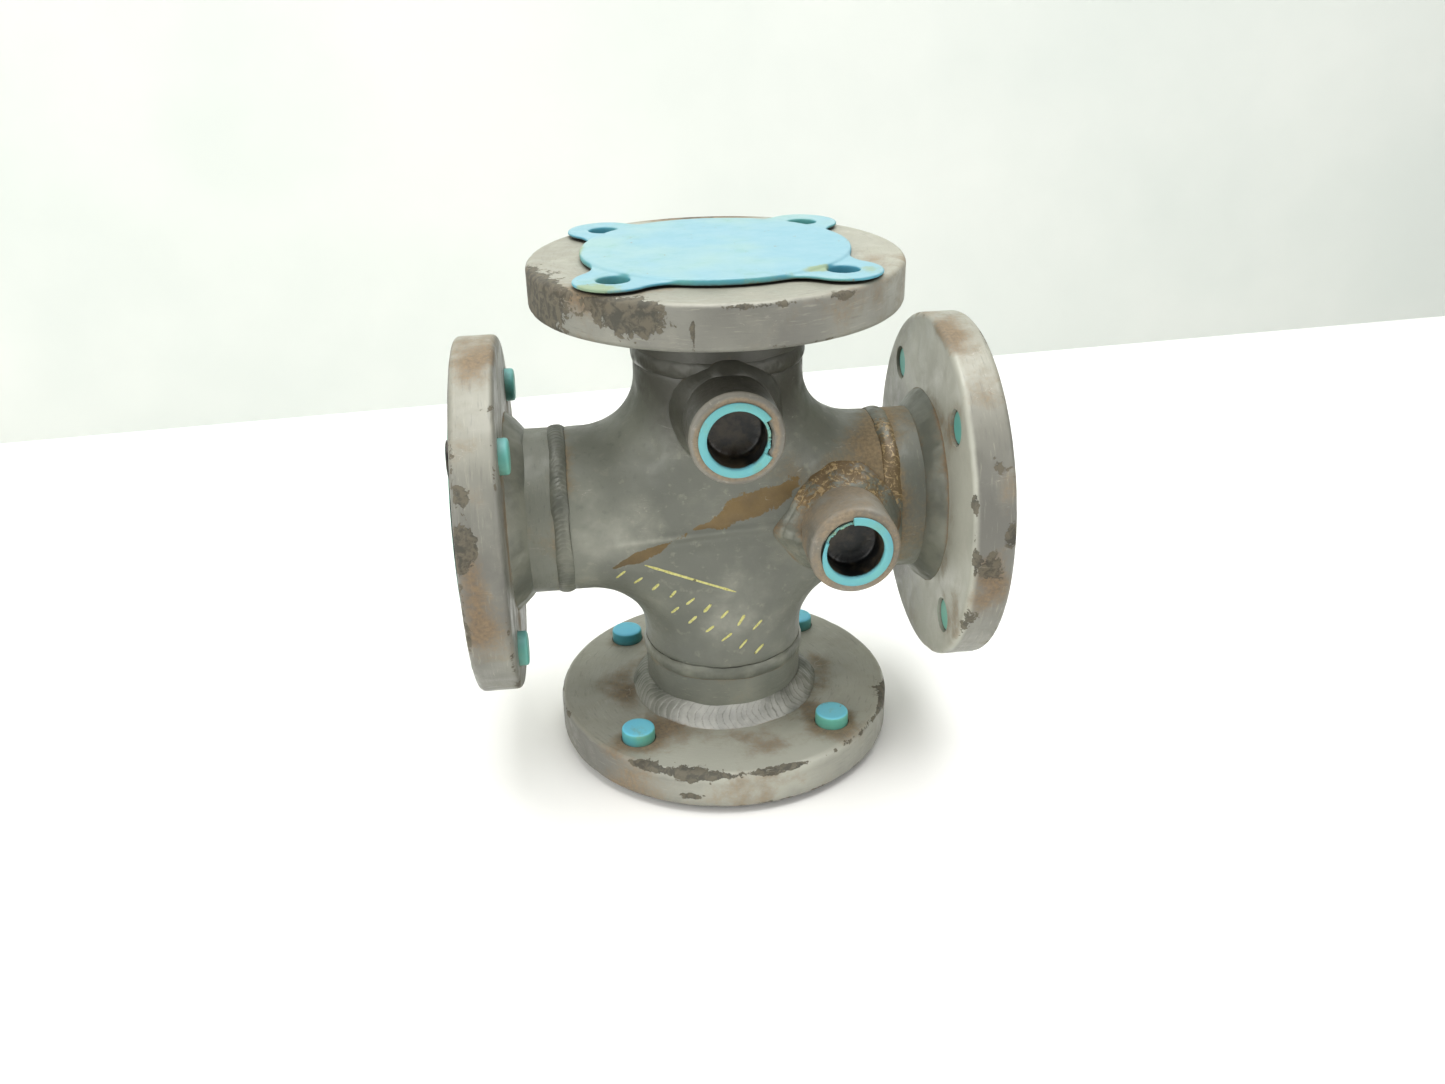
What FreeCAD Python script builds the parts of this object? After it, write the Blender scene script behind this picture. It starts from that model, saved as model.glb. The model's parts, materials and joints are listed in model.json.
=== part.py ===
import FreeCAD, Part
import math
import os
import re
import Sketcher

# A four-way flanged pipe cross standing upright on one of its flanges.
# A butt-welding cross fitting carries a short pipe stub and a slip-on flange on each arm.
# Two threaded half couplings are welded on the front side, and plastic protectors
# cover the four flange faces and plug the two couplings.
#
# Row frame: +Z up, -Y the side of the couplings, origin in the middle of the face that
# the bottom protector stands on.  A stub and its butt weld are modelled along +Z from the
# centre of the cross, and what belongs to a flange along +Z from its raised face.  They are
# then turned about Y to point up, right, down or left.

SIZES = {
    # 3 inch schedule 40 pipe
    "pipe_od": 88.9,
    "pipe_wall": 5.49,
    # butt-welding cross
    "arm_length": 85.7,
    "crotch_radius": 30.0,
    "bevel_depth": 3.0,
    "bevel_land": 1.6,
    "root_gap": 2.0,
    # how far a tool that cuts a hole runs past the surfaces it opens
    "overrun": 1.0,
    # pipe stub, from the root gap to a little behind the flange face
    "stub_setback": 6.0,
    # centre of the cross to each flange's raised face
    "top_face": 136.0,
    "side_face": 137.4,
    "bottom_face": 140.2,
    # class 150 slip-on flange
    "flange_od": 190.5,
    "flange_thickness": 23.9,
    "flange_bore": 90.7,
    "flange_rounding": 3.2,
    "raised_face_od": 127.0,
    "raised_face_height": 1.6,
    "bolt_circle": 152.4,
    "bolt_hole": 19.05,
    # welds
    "cap_width": 10.0,
    "cap_height": 1.7,
    "fillet_rise": 10.2,
    "fillet_run": 10.8,
    "fillet_radius": 20.0,
    "seal_leg": 5.0,
    "upper_bead": 6.0,
    "side_bead": 9.0,
    # 1 inch threaded half couplings
    "coupling_od": 47.2,
    "coupling_length": 30.2,
    "coupling_gap": 1.85,
    "coupling_chamfer": 1.3,
    "coupling_bevel": 2.5,
    "thread_mouth": 33.4,
    "thread_foot": 31.6,
    "thread_lead_in": 0.8,
    "port_hole": 26.6,
    "upper_port_height": 63.6,
    "side_port_reach": 58.9,
    # flange protectors, of which the top one isn't pushed fully home
    "seat_gap": 0.1,
    "loose_gap": 0.9,
    "cover_od": 136.0,
    "cover_sheet": 1.8,
    "cover_rounding": 1.2,
    "skirt_bore": 128.5,
    "skirt_depth": 1.4,
    "ear_radius": 19.0,
    "small_ear_radius": 9.8,
    "ear_flare": 18.0,
    "ear_drop": 1.2,
    "ear_thickness": 1.8,
    "ear_root": 66.0,
    "peg_od": 18.2,
    "peg_bore": 15.8,
    # how far each cover's pegs stand out of the flange's back
    "top_pegs": 1.0,
    "right_pegs": -1.5,
    "bottom_pegs": 7.0,
    "left_pegs": 5.0,
    "peg_end": 1.5,
    "peg_rounding": 1.5,
    "mouth_rounding": 0.6,
    # thread protectors
    "plug_head_od": 38.0,
    "plug_head": 1.3,
    "plug_seat": 0.1,
    "plug_od": 32.2,
    "plug_tip_od": 30.6,
    "plug_wall": 1.2,
    "plug_depth": 16.0,
    "plug_tear_depth": 0.8,
    "plug_tear_inset": 2.0,
}

CENTRE_HEIGHT = "bottom_face + seat_gap + cover_sheet"
PIPE_RADIUS = "pipe_od / 2"
BORE_RADIUS = "pipe_od / 2 - pipe_wall"
LAND_RADIUS = "pipe_od / 2 - pipe_wall + bevel_land"
BLEND_CENTRE = "pipe_od / 2 + crotch_radius"
STUB_START = "arm_length + root_gap"
STUB_END = "-stub_setback"
FLANGE_BACK = "-flange_thickness"
RIM_PLANE = "-raised_face_height"
PORT_FACE = "pipe_od / 2 + coupling_gap + coupling_length"

# The turn about Y that points a piece modelled along +Z to each side.
SIDES = {"top": 0, "right": 90, "bottom": 180, "left": -90}
FACES = {"top": "top_face", "right": "side_face", "bottom": "bottom_face", "left": "side_face"}
BOLTS = 4
# The top cover is the pattern with wide ears, and the other three have narrow ones.
EARS = {
    "top": "ear_radius",
    "right": "small_ear_radius",
    "bottom": "small_ear_radius",
    "left": "small_ear_radius",
}
SEATS = {"top": "loose_gap", "right": "seat_gap", "bottom": "seat_gap", "left": "seat_gap"}
# Each port is an expression for x and z, the arm it sits on, and the tear of its plug: where
# it is, in degrees anticlockwise from +X as seen from the front, and how wide it is.
PORTS = {
    "upper": {"x": "0", "z": "upper_port_height", "arm": "top", "tear_at": 2, "tear_width": 66},
    "side": {"x": "side_port_reach", "z": "0", "arm": "right", "tear_at": 140, "tear_width": 90},
}
SADDLE_POINTS = 32
SMALLEST_CUT = 1.0

document = FreeCAD.newDocument("flanged_cross")
sheet = document.addObject("Spreadsheet::Sheet", "Dimensions")
finished = []


def fill_sheet():
    """Write each driving dimension to the sheet and name its cell."""
    for row, (name, value) in enumerate(SIZES.items(), start=1):
        sheet.set(f"A{row}", name)
        sheet.set(f"B{row}", str(value))
        sheet.setAlias(f"B{row}", name)
    document.recompute()


def linked(text):
    """The expression with each dimension's name pointing to its cell in the sheet."""
    return re.sub(r"[a-z_]+", lambda word: "Dimensions." * (word[0] in SIZES) + word[0], text)


def size(text):
    """The present value of an expression in the sheet's dimensions."""
    return float(sheet.evalExpression(linked(text)))


def bind(item, prop, text):
    item.setExpression(prop, linked(text))


def add(kind, label, **expressions):
    """A new object whose named properties follow expressions."""
    item = document.addObject(kind, label)
    item.Label = label
    for prop, text in expressions.items():
        bind(item, prop, text)
    return item


def move(item, x="0", y="0", z="0", rotation=None):
    """Turn an object, and let its place follow three expressions."""
    item.Placement = FreeCAD.Placement(FreeCAD.Vector(), rotation or FreeCAD.Rotation())
    for axis, text in zip("xyz", (x, y, z)):
        bind(item, f"Placement.Base.{axis}", text)
    return item


def cut(label, base, tool):
    """The base with the tool's space taken away."""
    item = add("Part::Cut", label)
    item.Base = base
    item.Tool = tool
    return item


def turn_about(axis, degrees):
    vector = {"x": FreeCAD.Vector(1, 0, 0), "y": FreeCAD.Vector(0, 1, 0), "z": FreeCAD.Vector(0, 0, 1)}
    return FreeCAD.Rotation(vector[axis], degrees)


# ---------------------------------------------------------------- sketches and features


def sketch_on(body, name, plane, x="0", height="0"):
    """An empty sketch on one of the body's origin planes, shifted by x and by height."""
    sketch = body.newObject("Sketcher::SketchObject", name)
    origin_planes = [part for part in body.Origin.OriginFeatures if part.Role == plane]
    sketch.AttachmentSupport = [(origin_planes[0], "")]
    sketch.MapMode = "FlatFace"
    bind(sketch, "AttachmentOffset.Base.x", x)
    bind(sketch, "AttachmentOffset.Base.z", height)
    return sketch


def arc_between(start, end, radius):
    """The short arc from start to end. A positive radius turns anticlockwise."""
    middle = (start + end) / 2
    chord = end - start
    rise = math.sqrt(radius**2 - (chord.Length / 2) ** 2)
    across = FreeCAD.Vector(-chord.y, chord.x, 0).normalize()
    centre = middle + across * math.copysign(rise, radius)
    ends = (start, end) if radius > 0 else (end, start)
    angles = [math.atan2(point.y - centre.y, point.x - centre.x) for point in ends]
    if angles[1] < angles[0]:
        angles[1] += 2 * math.pi
    circle = Part.Circle(centre, FreeCAD.Vector(0, 0, 1), abs(radius))
    return Part.ArcOfCircle(circle, *angles)


def outline(sketch, corners):
    """Close the sketch round its corners, each (x, y) or (x, y, radius of the arc that leads to it)."""
    points = [FreeCAD.Vector(size(corner[0]), size(corner[1]), 0) for corner in corners]
    ends = []
    for index, corner in enumerate(corners):
        start, end = points[index - 1], points[index]
        if len(corner) == 2:
            edge = sketch.addGeometry(Part.LineSegment(start, end), False)
            ends.append((edge, 1, 2))
            continue
        radius = size(corner[2])
        edge = sketch.addGeometry(arc_between(start, end, radius), False)
        ends.append((edge, 1, 2) if radius > 0 else (edge, 2, 1))
        number = sketch.addConstraint(Sketcher.Constraint("Radius", edge, abs(radius)))
        bind(sketch, f"Constraints[{number}]", corner[2] if radius > 0 else f"-({corner[2]})")
    for index, corner in enumerate(corners):
        edge, _, last = ends[index]
        following, first, _ = ends[(index + 1) % len(corners)]
        sketch.addConstraint(Sketcher.Constraint("Coincident", edge, last, following, first))
        for kind, text in (("DistanceX", corner[0]), ("DistanceY", corner[1])):
            number = sketch.addConstraint(Sketcher.Constraint(kind, -1, 1, edge, last, size(text)))
            bind(sketch, f"Constraints[{number}]", text)
    return sketch


def turned(body, name, corners, x="0", cut=False, angle=360):
    """Revolve (or cut away) an outline of (radius, height) corners about an axis along Z at x."""
    sketch = outline(sketch_on(body, name + "_profile", "XZ_Plane", x=x), corners)
    feature = body.newObject("PartDesign::Groove" if cut else "PartDesign::Revolution", name)
    feature.Profile = sketch
    feature.ReferenceAxis = (sketch, ["V_Axis"])
    feature.Angle = angle
    feature.Midplane = angle < 360
    body.Tip = feature
    return feature


def repeated(body, name, features):
    """Repeat features round the body's Z axis, once for each bolt."""
    pattern = body.newObject("PartDesign::PolarPattern", name)
    z_axis = [part for part in body.Origin.OriginFeatures if part.Role == "Z_Axis"]
    pattern.Originals = features
    pattern.Axis = (z_axis[0], [""])
    pattern.Angle = 360
    pattern.Occurrences = BOLTS
    body.Tip = pattern
    return pattern


def keep(item):
    """Mark an object as a sub-part of its own."""
    finished.append(item)
    return item


def along_arm(side, reach):
    """The x and z expressions of a point on an arm's axis, at a reach from the cross's centre."""
    signed = reach if side in ("top", "right") else f"-({reach})"
    return ("0", signed) if side in ("top", "bottom") else (signed, "0")


def to_side(item, side, reach="0"):
    """Turn a piece that was modelled along +Z to its side. Its bolts lie on the diagonals."""
    rotation = turn_about("y", SIDES[side]) * turn_about("z", 180 / BOLTS)
    x, z = along_arm(side, reach)
    return keep(move(item, x=x, z=f"{CENTRE_HEIGHT} + {z}", rotation=rotation))


def to_port(item, port, spin=0):
    """Put a piece modelled along +Z at a coupling's face, with its +Z to the front."""
    rotation = turn_about("x", 90) * turn_about("z", spin)
    return keep(
        move(
            item,
            x=PORTS[port]["x"],
            y=f"-({PORT_FACE})",
            z=f"{CENTRE_HEIGHT} + {PORTS[port]['z']}",
            rotation=rotation,
        )
    )


# ---------------------------------------------------------------- the cross fitting


def rounded_cross(label, radius, arm_parts):
    """Two crossing round bars whose four inner corners are hollowed by quarter tori.

    The corner at (x, z) = (blend, blend) of a square block is cut away where it is
    further from the torus's centre circle than the bar's radius, so the bars flow
    into each other with a constant radius, and stay tangent to flat crowns front and back.
    """
    block = add(
        "Part::Box",
        label + "_block",
        Length=f"2 * ({BLEND_CENTRE})",
        Width=f"2 * ({radius})",
        Height=f"2 * ({BLEND_CENTRE})",
    )
    move(block, x=f"-({BLEND_CENTRE})", y=f"-({radius})", z=f"-({BLEND_CENTRE})")
    core = block
    for name, x_sign, z_sign in (("ne", "", ""), ("nw", "-", ""), ("sw", "-", "-"), ("se", "", "-")):
        corner = {"x": f"{x_sign}({BLEND_CENTRE})", "z": f"{z_sign}({BLEND_CENTRE})"}
        depth = f"2 * ({radius} + overrun)"
        drum = add("Part::Cylinder", f"{label}_drum_{name}", Radius=BLEND_CENTRE, Height=depth)
        move(drum, y=f"{radius} + overrun", rotation=turn_about("x", 90), **corner)
        ring = add("Part::Torus", f"{label}_ring_{name}", Radius1=BLEND_CENTRE, Radius2=radius)
        move(ring, rotation=turn_about("x", 90), **corner)
        core = cut(f"{label}_core_{name}", core, cut(f"{label}_waist_{name}", drum, ring))
    whole = add("Part::MultiFuse", label)
    whole.Shapes = [core] + arm_parts
    return whole


def straight_arm(label, radius, start, length, side, tip_radius=None):
    """A round bar, or a cone where a tip radius is given, pointing to one side from start."""
    if tip_radius:
        arm = add("Part::Cone", label, Radius1=radius, Radius2=tip_radius, Height=length)
    else:
        arm = add("Part::Cylinder", label, Radius=radius, Height=length)
    x, z = along_arm(side, start)
    return move(arm, x=x, z=z, rotation=turn_about("y", SIDES[side]))


def cross_outside():
    """The cross as a solid bar, with a welding bevel on each end."""
    arms = []
    for side in SIDES:
        plain = f"arm_length - bevel_depth - ({BLEND_CENTRE})"
        arms.append(straight_arm(f"cross_arm_{side}", PIPE_RADIUS, BLEND_CENTRE, plain, side))
        arms.append(
            straight_arm(
                f"cross_bevel_{side}",
                PIPE_RADIUS,
                "arm_length - bevel_depth",
                "bevel_depth",
                side,
                tip_radius=LAND_RADIUS,
            )
        )
    return rounded_cross("cross_outside", PIPE_RADIUS, arms)


def cross_inside():
    """The flow passage through the cross, run past each end."""
    arms = []
    for side in SIDES:
        length = f"arm_length + root_gap - ({BLEND_CENTRE})"
        arms.append(straight_arm(f"passage_arm_{side}", BORE_RADIUS, BLEND_CENTRE, length, side))
    return rounded_cross("cross_inside", BORE_RADIUS, arms)


def port_holes():
    """The holes under the two couplings, from the middle of the bore to past the front."""
    holes = []
    for port, place in PORTS.items():
        hole = add("Part::Cylinder", f"port_hole_{port}", Radius="port_hole / 2", Height="pipe_od")
        holes.append(move(hole, x=place["x"], z=place["z"], rotation=turn_about("x", 90)))
    return holes


def cross_fitting():
    outside = cross_outside()
    cavities = add("Part::MultiFuse", "cross_cavities")
    cavities.Shapes = [cross_inside()] + port_holes()
    keep(move(cut("cross_fitting", outside, cavities), z=CENTRE_HEIGHT))
    return outside


# ---------------------------------------------------------------- pieces on each arm


def pipe_stub(side):
    body = add("PartDesign::Body", f"pipe_stub_{side}")
    turned(
        body,
        f"stub_{side}",
        [
            (BORE_RADIUS, STUB_START),
            (LAND_RADIUS, STUB_START),
            (PIPE_RADIUS, f"{STUB_START} + bevel_depth"),
            (PIPE_RADIUS, f"{FACES[side]} - stub_setback"),
            (BORE_RADIUS, f"{FACES[side]} - stub_setback"),
        ],
    )
    return to_side(body, side)


def flange(side):
    """A flat-backed slip-on flange with a raised face and rounded rim edges."""
    body = add("PartDesign::Body", f"flange_{side}")
    turned(
        body,
        f"ring_{side}",
        [
            ("flange_bore / 2", FLANGE_BACK),
            ("flange_od / 2 - flange_rounding", FLANGE_BACK),
            ("flange_od / 2", f"{FLANGE_BACK} + flange_rounding", "flange_rounding"),
            ("flange_od / 2", f"{RIM_PLANE} - flange_rounding"),
            ("flange_od / 2 - flange_rounding", RIM_PLANE, "flange_rounding"),
            ("raised_face_od / 2", RIM_PLANE),
            ("raised_face_od / 2", "0"),
            ("flange_bore / 2", "0"),
        ],
    )
    hole = turned(
        body,
        f"bolt_hole_{side}",
        [
            ("0", f"{FLANGE_BACK} - overrun"),
            ("bolt_hole / 2", f"{FLANGE_BACK} - overrun"),
            ("bolt_hole / 2", "overrun"),
            ("0", "overrun"),
        ],
        x="bolt_circle / 2",
        cut=True,
    )
    repeated(body, f"bolt_holes_{side}", [hole])
    return to_side(body, side, FACES[side])


def butt_weld(side):
    """The weld between arm and stub: a bevelled groove filled up to a low crown."""
    middle = "arm_length + root_gap / 2"
    crown_radius = "(cap_width * cap_width / 4 + cap_height * cap_height) / (2 * cap_height)"
    body = add("PartDesign::Body", f"butt_weld_{side}")
    turned(
        body,
        f"bead_{side}",
        [
            (BORE_RADIUS, "arm_length"),
            (BORE_RADIUS, STUB_START),
            (LAND_RADIUS, STUB_START),
            (PIPE_RADIUS, f"{STUB_START} + bevel_depth"),
            (PIPE_RADIUS, f"{middle} + cap_width / 2"),
            (PIPE_RADIUS, f"{middle} - cap_width / 2", f"-({crown_radius})"),
            (PIPE_RADIUS, "arm_length - bevel_depth"),
            (LAND_RADIUS, "arm_length"),
        ],
    )
    return to_side(body, side)


def back_weld(side):
    """The heavy fillet between the stub and the flange's back."""
    body = add("PartDesign::Body", f"flange_weld_{side}")
    turned(
        body,
        f"back_fillet_{side}",
        [
            (PIPE_RADIUS, FLANGE_BACK),
            (PIPE_RADIUS, f"{FLANGE_BACK} - fillet_run"),
            (f"{PIPE_RADIUS} + fillet_rise", FLANGE_BACK, "fillet_radius"),
        ],
    )
    return to_side(body, side, FACES[side])


def seal_weld(side):
    """The small fillet inside the flange's bore, over the stub's end."""
    body = add("PartDesign::Body", f"seal_weld_{side}")
    turned(
        body,
        f"bore_fillet_{side}",
        [
            ("flange_bore / 2", STUB_END),
            ("flange_bore / 2", f"{STUB_END} + seal_leg"),
            ("flange_bore / 2 - seal_leg", STUB_END),
        ],
    )
    return to_side(body, side, FACES[side])


# ---------------------------------------------------------------- half couplings


def half_coupling(port):
    """A threaded half coupling, seen as a plain taper bore with chamfered ends."""
    body = add("PartDesign::Body", f"half_coupling_{port}")
    turned(
        body,
        f"sleeve_{port}",
        [
            ("thread_mouth / 2", "-thread_lead_in"),
            ("thread_foot / 2", "-coupling_length"),
            ("coupling_od / 2 - coupling_bevel", "-coupling_length"),
            ("coupling_od / 2", "coupling_bevel - coupling_length"),
            ("coupling_od / 2", "-coupling_chamfer"),
            ("coupling_od / 2 - coupling_chamfer", "0"),
            ("thread_mouth / 2 + thread_lead_in", "0"),
        ],
    )
    return to_port(body, port)


def saddle_curve(port):
    """The closed curve where a coupling's foot meets the pipe, in the cross's own frame."""
    pipe = size(PIPE_RADIUS)
    reach = size("coupling_od / 2")
    foot = size(PIPE_RADIUS + " + coupling_gap")
    centre = FreeCAD.Vector(size(PORTS[port]["x"]), 0, size(PORTS[port]["z"]))
    points = []
    for step in range(SADDLE_POINTS):
        angle = 2 * math.pi * step / SADDLE_POINTS
        x = reach * math.cos(angle)
        z = reach * math.sin(angle)
        across_pipe = z if port == "side" else x
        surface = math.sqrt(pipe**2 - across_pipe**2)
        points.append(centre + FreeCAD.Vector(x, -(surface + foot) / 2, z))
    curve = Part.BSplineCurve()
    curve.interpolate(points, PeriodicFlag=True)
    return curve


def swept_bead(curve, radius):
    """A round bead along a closed curve, swept in two halves."""
    middle = (curve.FirstParameter + curve.LastParameter) / 2
    halves = []
    for first, last in ((curve.FirstParameter, middle), (middle, curve.LastParameter)):
        circle = Part.Circle(curve.value(first), curve.tangent(first)[0], radius)
        section = Part.Wire(Part.Edge(circle))
        halves.append(Part.Wire(curve.toShape(first, last)).makePipeShell([section], True, False))
    return halves[0].fuse(halves[1])


def coupling_space(port):
    """The room that a coupling and its bore take up, in the cross's own frame."""
    forward = FreeCAD.Vector(0, -1, 0)
    base = FreeCAD.Vector(size(PORTS[port]["x"]), 0, size(PORTS[port]["z"]))
    foot = base + forward * size(f"{PIPE_RADIUS} + coupling_gap")
    outer = size("coupling_od / 2")
    bevel = size("coupling_bevel")
    bevelled = Part.makeCone(outer - bevel, outer, bevel, foot, forward)
    straight = Part.makeCylinder(outer, size("coupling_length") - bevel, foot + forward * bevel, forward)
    passage = Part.makeCylinder(size("thread_foot / 2"), size(PORT_FACE), base, forward)
    return [bevelled, straight, passage]


def arm_end_space(side):
    """The room that an arm's butt weld and pipe take up, in the cross's own frame."""
    outwards = turn_about("y", SIDES[side]).multVec(FreeCAD.Vector(0, 0, 1))
    start = outwards * size("arm_length + root_gap / 2 - cap_width / 2")
    weld = document.getObject(f"butt_weld_{side}").Shape.copy()
    weld.translate(FreeCAD.Vector(0, 0, -size(CENTRE_HEIGHT)))
    pipe = Part.makeCylinder(size(PIPE_RADIUS), size("stub_setback + cap_width"), start, outwards)
    return [pipe, weld]


def coupling_weld(port, outside):
    """The bead round a coupling's foot, trimmed to everything that it lies against."""
    shape = swept_bead(saddle_curve(port), size(f"{port}_bead"))
    for obstacle in [outside] + arm_end_space(PORTS[port]["arm"]) + coupling_space(port):
        shape = shape.cut(obstacle)
    weld = add("Part::Feature", f"coupling_weld_{port}")
    weld.Shape = max(shape.Solids, key=lambda solid: solid.Volume)
    return keep(move(weld, z=CENTRE_HEIGHT))


# ---------------------------------------------------------------- protectors


def ear_corners(ear_radius):
    """The outline of one ear: a round end that flares back to the disc on two concave arcs."""
    to_disc = "(cover_od / 2 + ear_flare)"
    to_ear = f"({ear_radius} + ear_flare)"
    hole = "bolt_circle / 2"
    flare_x = f"(({to_disc}^2 - {to_ear}^2 + ({hole})^2) / bolt_circle)"
    flare_y = f"sqrt({to_disc}^2 - {flare_x}^2)"
    ear_x = f"{hole} + {ear_radius} * ({flare_x} - {hole}) / {to_ear}"
    ear_y = f"{ear_radius} * {flare_y} / {to_ear}"
    disc_x = f"cover_od / 2 * {flare_x} / {to_disc}"
    disc_y = f"cover_od / 2 * {flare_y} / {to_disc}"
    root_x = f"ear_root * {flare_x} / {to_disc}"
    root_y = f"ear_root * {flare_y} / {to_disc}"
    return [
        (root_x, f"-({root_y})", "-ear_root"),
        (disc_x, f"-({disc_y})"),
        (ear_x, f"-({ear_y})", "-ear_flare"),
        (f"{hole} + {ear_radius}", "0", ear_radius),
        (ear_x, ear_y, ear_radius),
        (disc_x, disc_y, "-ear_flare"),
        (root_x, root_y),
    ]


def cover_cap(body, side):
    """The disc over the raised face, with a short skirt round its edge."""
    seat = SEATS[side]
    turned(
        body,
        f"cap_{side}",
        [
            ("0", seat),
            ("skirt_bore / 2", seat),
            ("skirt_bore / 2", f"{seat} - skirt_depth"),
            ("cover_od / 2", f"{seat} - skirt_depth"),
            ("cover_od / 2", f"{seat} + cover_sheet - cover_rounding"),
            ("cover_od / 2 - cover_rounding", f"{seat} + cover_sheet", "cover_rounding"),
            ("0", f"{seat} + cover_sheet"),
        ],
    )


def cover_ear(body, side):
    """One ear and its hollow peg, as a pad, a revolution and a groove."""
    ear_floor = f"{SEATS[side]} - ear_drop"
    ear_top = f"{ear_floor} + ear_thickness"
    peg_tip = f"{FLANGE_BACK} - {side}_pegs"
    sketch = sketch_on(body, f"ear_{side}_outline", "XY_Plane", height=ear_floor)
    ear = body.newObject("PartDesign::Pad", f"ear_{side}")
    ear.Profile = outline(sketch, ear_corners(EARS[side]))
    bind(ear, "Length", "ear_thickness")
    body.Tip = ear
    peg = turned(
        body,
        f"peg_{side}",
        [
            ("0", peg_tip),
            ("peg_od / 2 - peg_rounding", peg_tip),
            ("peg_od / 2", f"{peg_tip} + peg_rounding", "peg_rounding"),
            ("peg_od / 2", f"{ear_floor} + ear_thickness / 2"),
            ("0", f"{ear_floor} + ear_thickness / 2"),
        ],
        x="bolt_circle / 2",
    )
    bore = turned(
        body,
        f"peg_bore_{side}",
        [
            ("0", f"{peg_tip} + peg_end"),
            ("peg_bore / 2 - peg_rounding", f"{peg_tip} + peg_end"),
            ("peg_bore / 2", f"{peg_tip} + peg_end + peg_rounding", "peg_rounding"),
            ("peg_bore / 2", f"{ear_top} - mouth_rounding"),
            ("peg_bore / 2 + mouth_rounding", ear_top),
            ("peg_bore / 2 + mouth_rounding", f"{ear_top} + overrun"),
            ("0", f"{ear_top} + overrun"),
        ],
        x="bolt_circle / 2",
        cut=True,
    )
    return [ear, peg, bore]


def flange_cover(side):
    """A shallow plastic cap with four ears, each carrying a hollow peg through a bolt hole."""
    body = add("PartDesign::Body", f"flange_cover_{side}")
    cover_cap(body, side)
    repeated(body, f"ears_{side}", cover_ear(body, side))
    return to_side(body, side, FACES[side])


def thread_plug(port):
    """A push-in cup with a thin head ring, part of which is torn off."""
    body = add("PartDesign::Body", f"thread_plug_{port}")
    head_top = "plug_seat + plug_head"
    turned(
        body,
        f"cup_{port}",
        [
            ("0", "-plug_depth"),
            ("plug_tip_od / 2", "-plug_depth"),
            ("plug_od / 2", "plug_seat"),
            ("plug_head_od / 2", "plug_seat"),
            ("plug_head_od / 2", head_top),
            ("plug_od / 2 - plug_wall", head_top),
            ("plug_tip_od / 2 - plug_wall", "plug_wall - plug_depth"),
            ("0", "plug_wall - plug_depth"),
        ],
    )
    turned(
        body,
        f"tear_{port}",
        [
            ("plug_od / 2 - plug_tear_inset", "-plug_tear_depth"),
            ("plug_head_od / 2 + overrun", "-plug_tear_depth"),
            ("plug_head_od / 2 + overrun", f"{head_top} + overrun"),
            ("plug_od / 2 - plug_tear_inset", f"{head_top} + overrun"),
        ],
        cut=True,
        angle=PORTS[port]["tear_width"],
    )
    return to_port(body, port, spin=PORTS[port]["tear_at"])


# ---------------------------------------------------------------- the whole object


def build():
    fill_sheet()
    outside = cross_fitting()
    for side in SIDES:
        pipe_stub(side)
        flange(side)
        butt_weld(side)
        back_weld(side)
        seal_weld(side)
        flange_cover(side)
    for port in PORTS:
        half_coupling(port)
        thread_plug(port)
    document.recompute()
    for port in PORTS:
        coupling_weld(port, outside.Shape)
    document.recompute()
    return outside


def check():
    """Stop if any object failed to compute, or a sub-part isn't one valid solid."""
    for item in document.Objects:
        if {"Invalid", "Error"} & set(item.State):
            raise RuntimeError(f"{item.Label} could not be computed: {item.State}")
    for item in finished:
        shape = item.Shape
        if shape.isNull() or not shape.isValid() or len(shape.Solids) != 1:
            raise RuntimeError(f"{item.Label} is not one valid solid")


def check_grooves():
    """Stop if a groove took nothing away from the feature before it."""
    for item in document.Objects:
        if item.TypeId != "PartDesign::Groove":
            continue
        if item.Shape.Volume > item.BaseFeature.Shape.Volume - SMALLEST_CUT:
            raise RuntimeError(f"{item.Label} removed nothing")


def check_cross(outside):
    """Stop if the cross's passage and port holes did not come out of the solid bar."""
    fitting = document.getObject("cross_fitting")
    cavities = document.getObject("cross_cavities")
    removed = outside.Shape.Volume - fitting.Shape.Volume
    shared = outside.Shape.common(cavities.Shape).Volume
    if abs(removed - shared) > SMALLEST_CUT:
        raise RuntimeError(f"the passage removed {removed:.0f} of {shared:.0f} cubic mm")


def write():
    os.makedirs("parts", exist_ok=True)
    for item in finished:
        item.Shape.exportStep(f"parts/{item.Label}.step")
        print(f"{item.Label}: {item.Shape.Volume:.0f} cubic mm")


cross_bar = build()
check()
check_grooves()
check_cross(cross_bar)
write()
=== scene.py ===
import json
import math

import bmesh
import bpy
import numpy as np
from mathutils import Matrix, Vector
from mathutils.bvhtree import BVHTree


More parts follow.
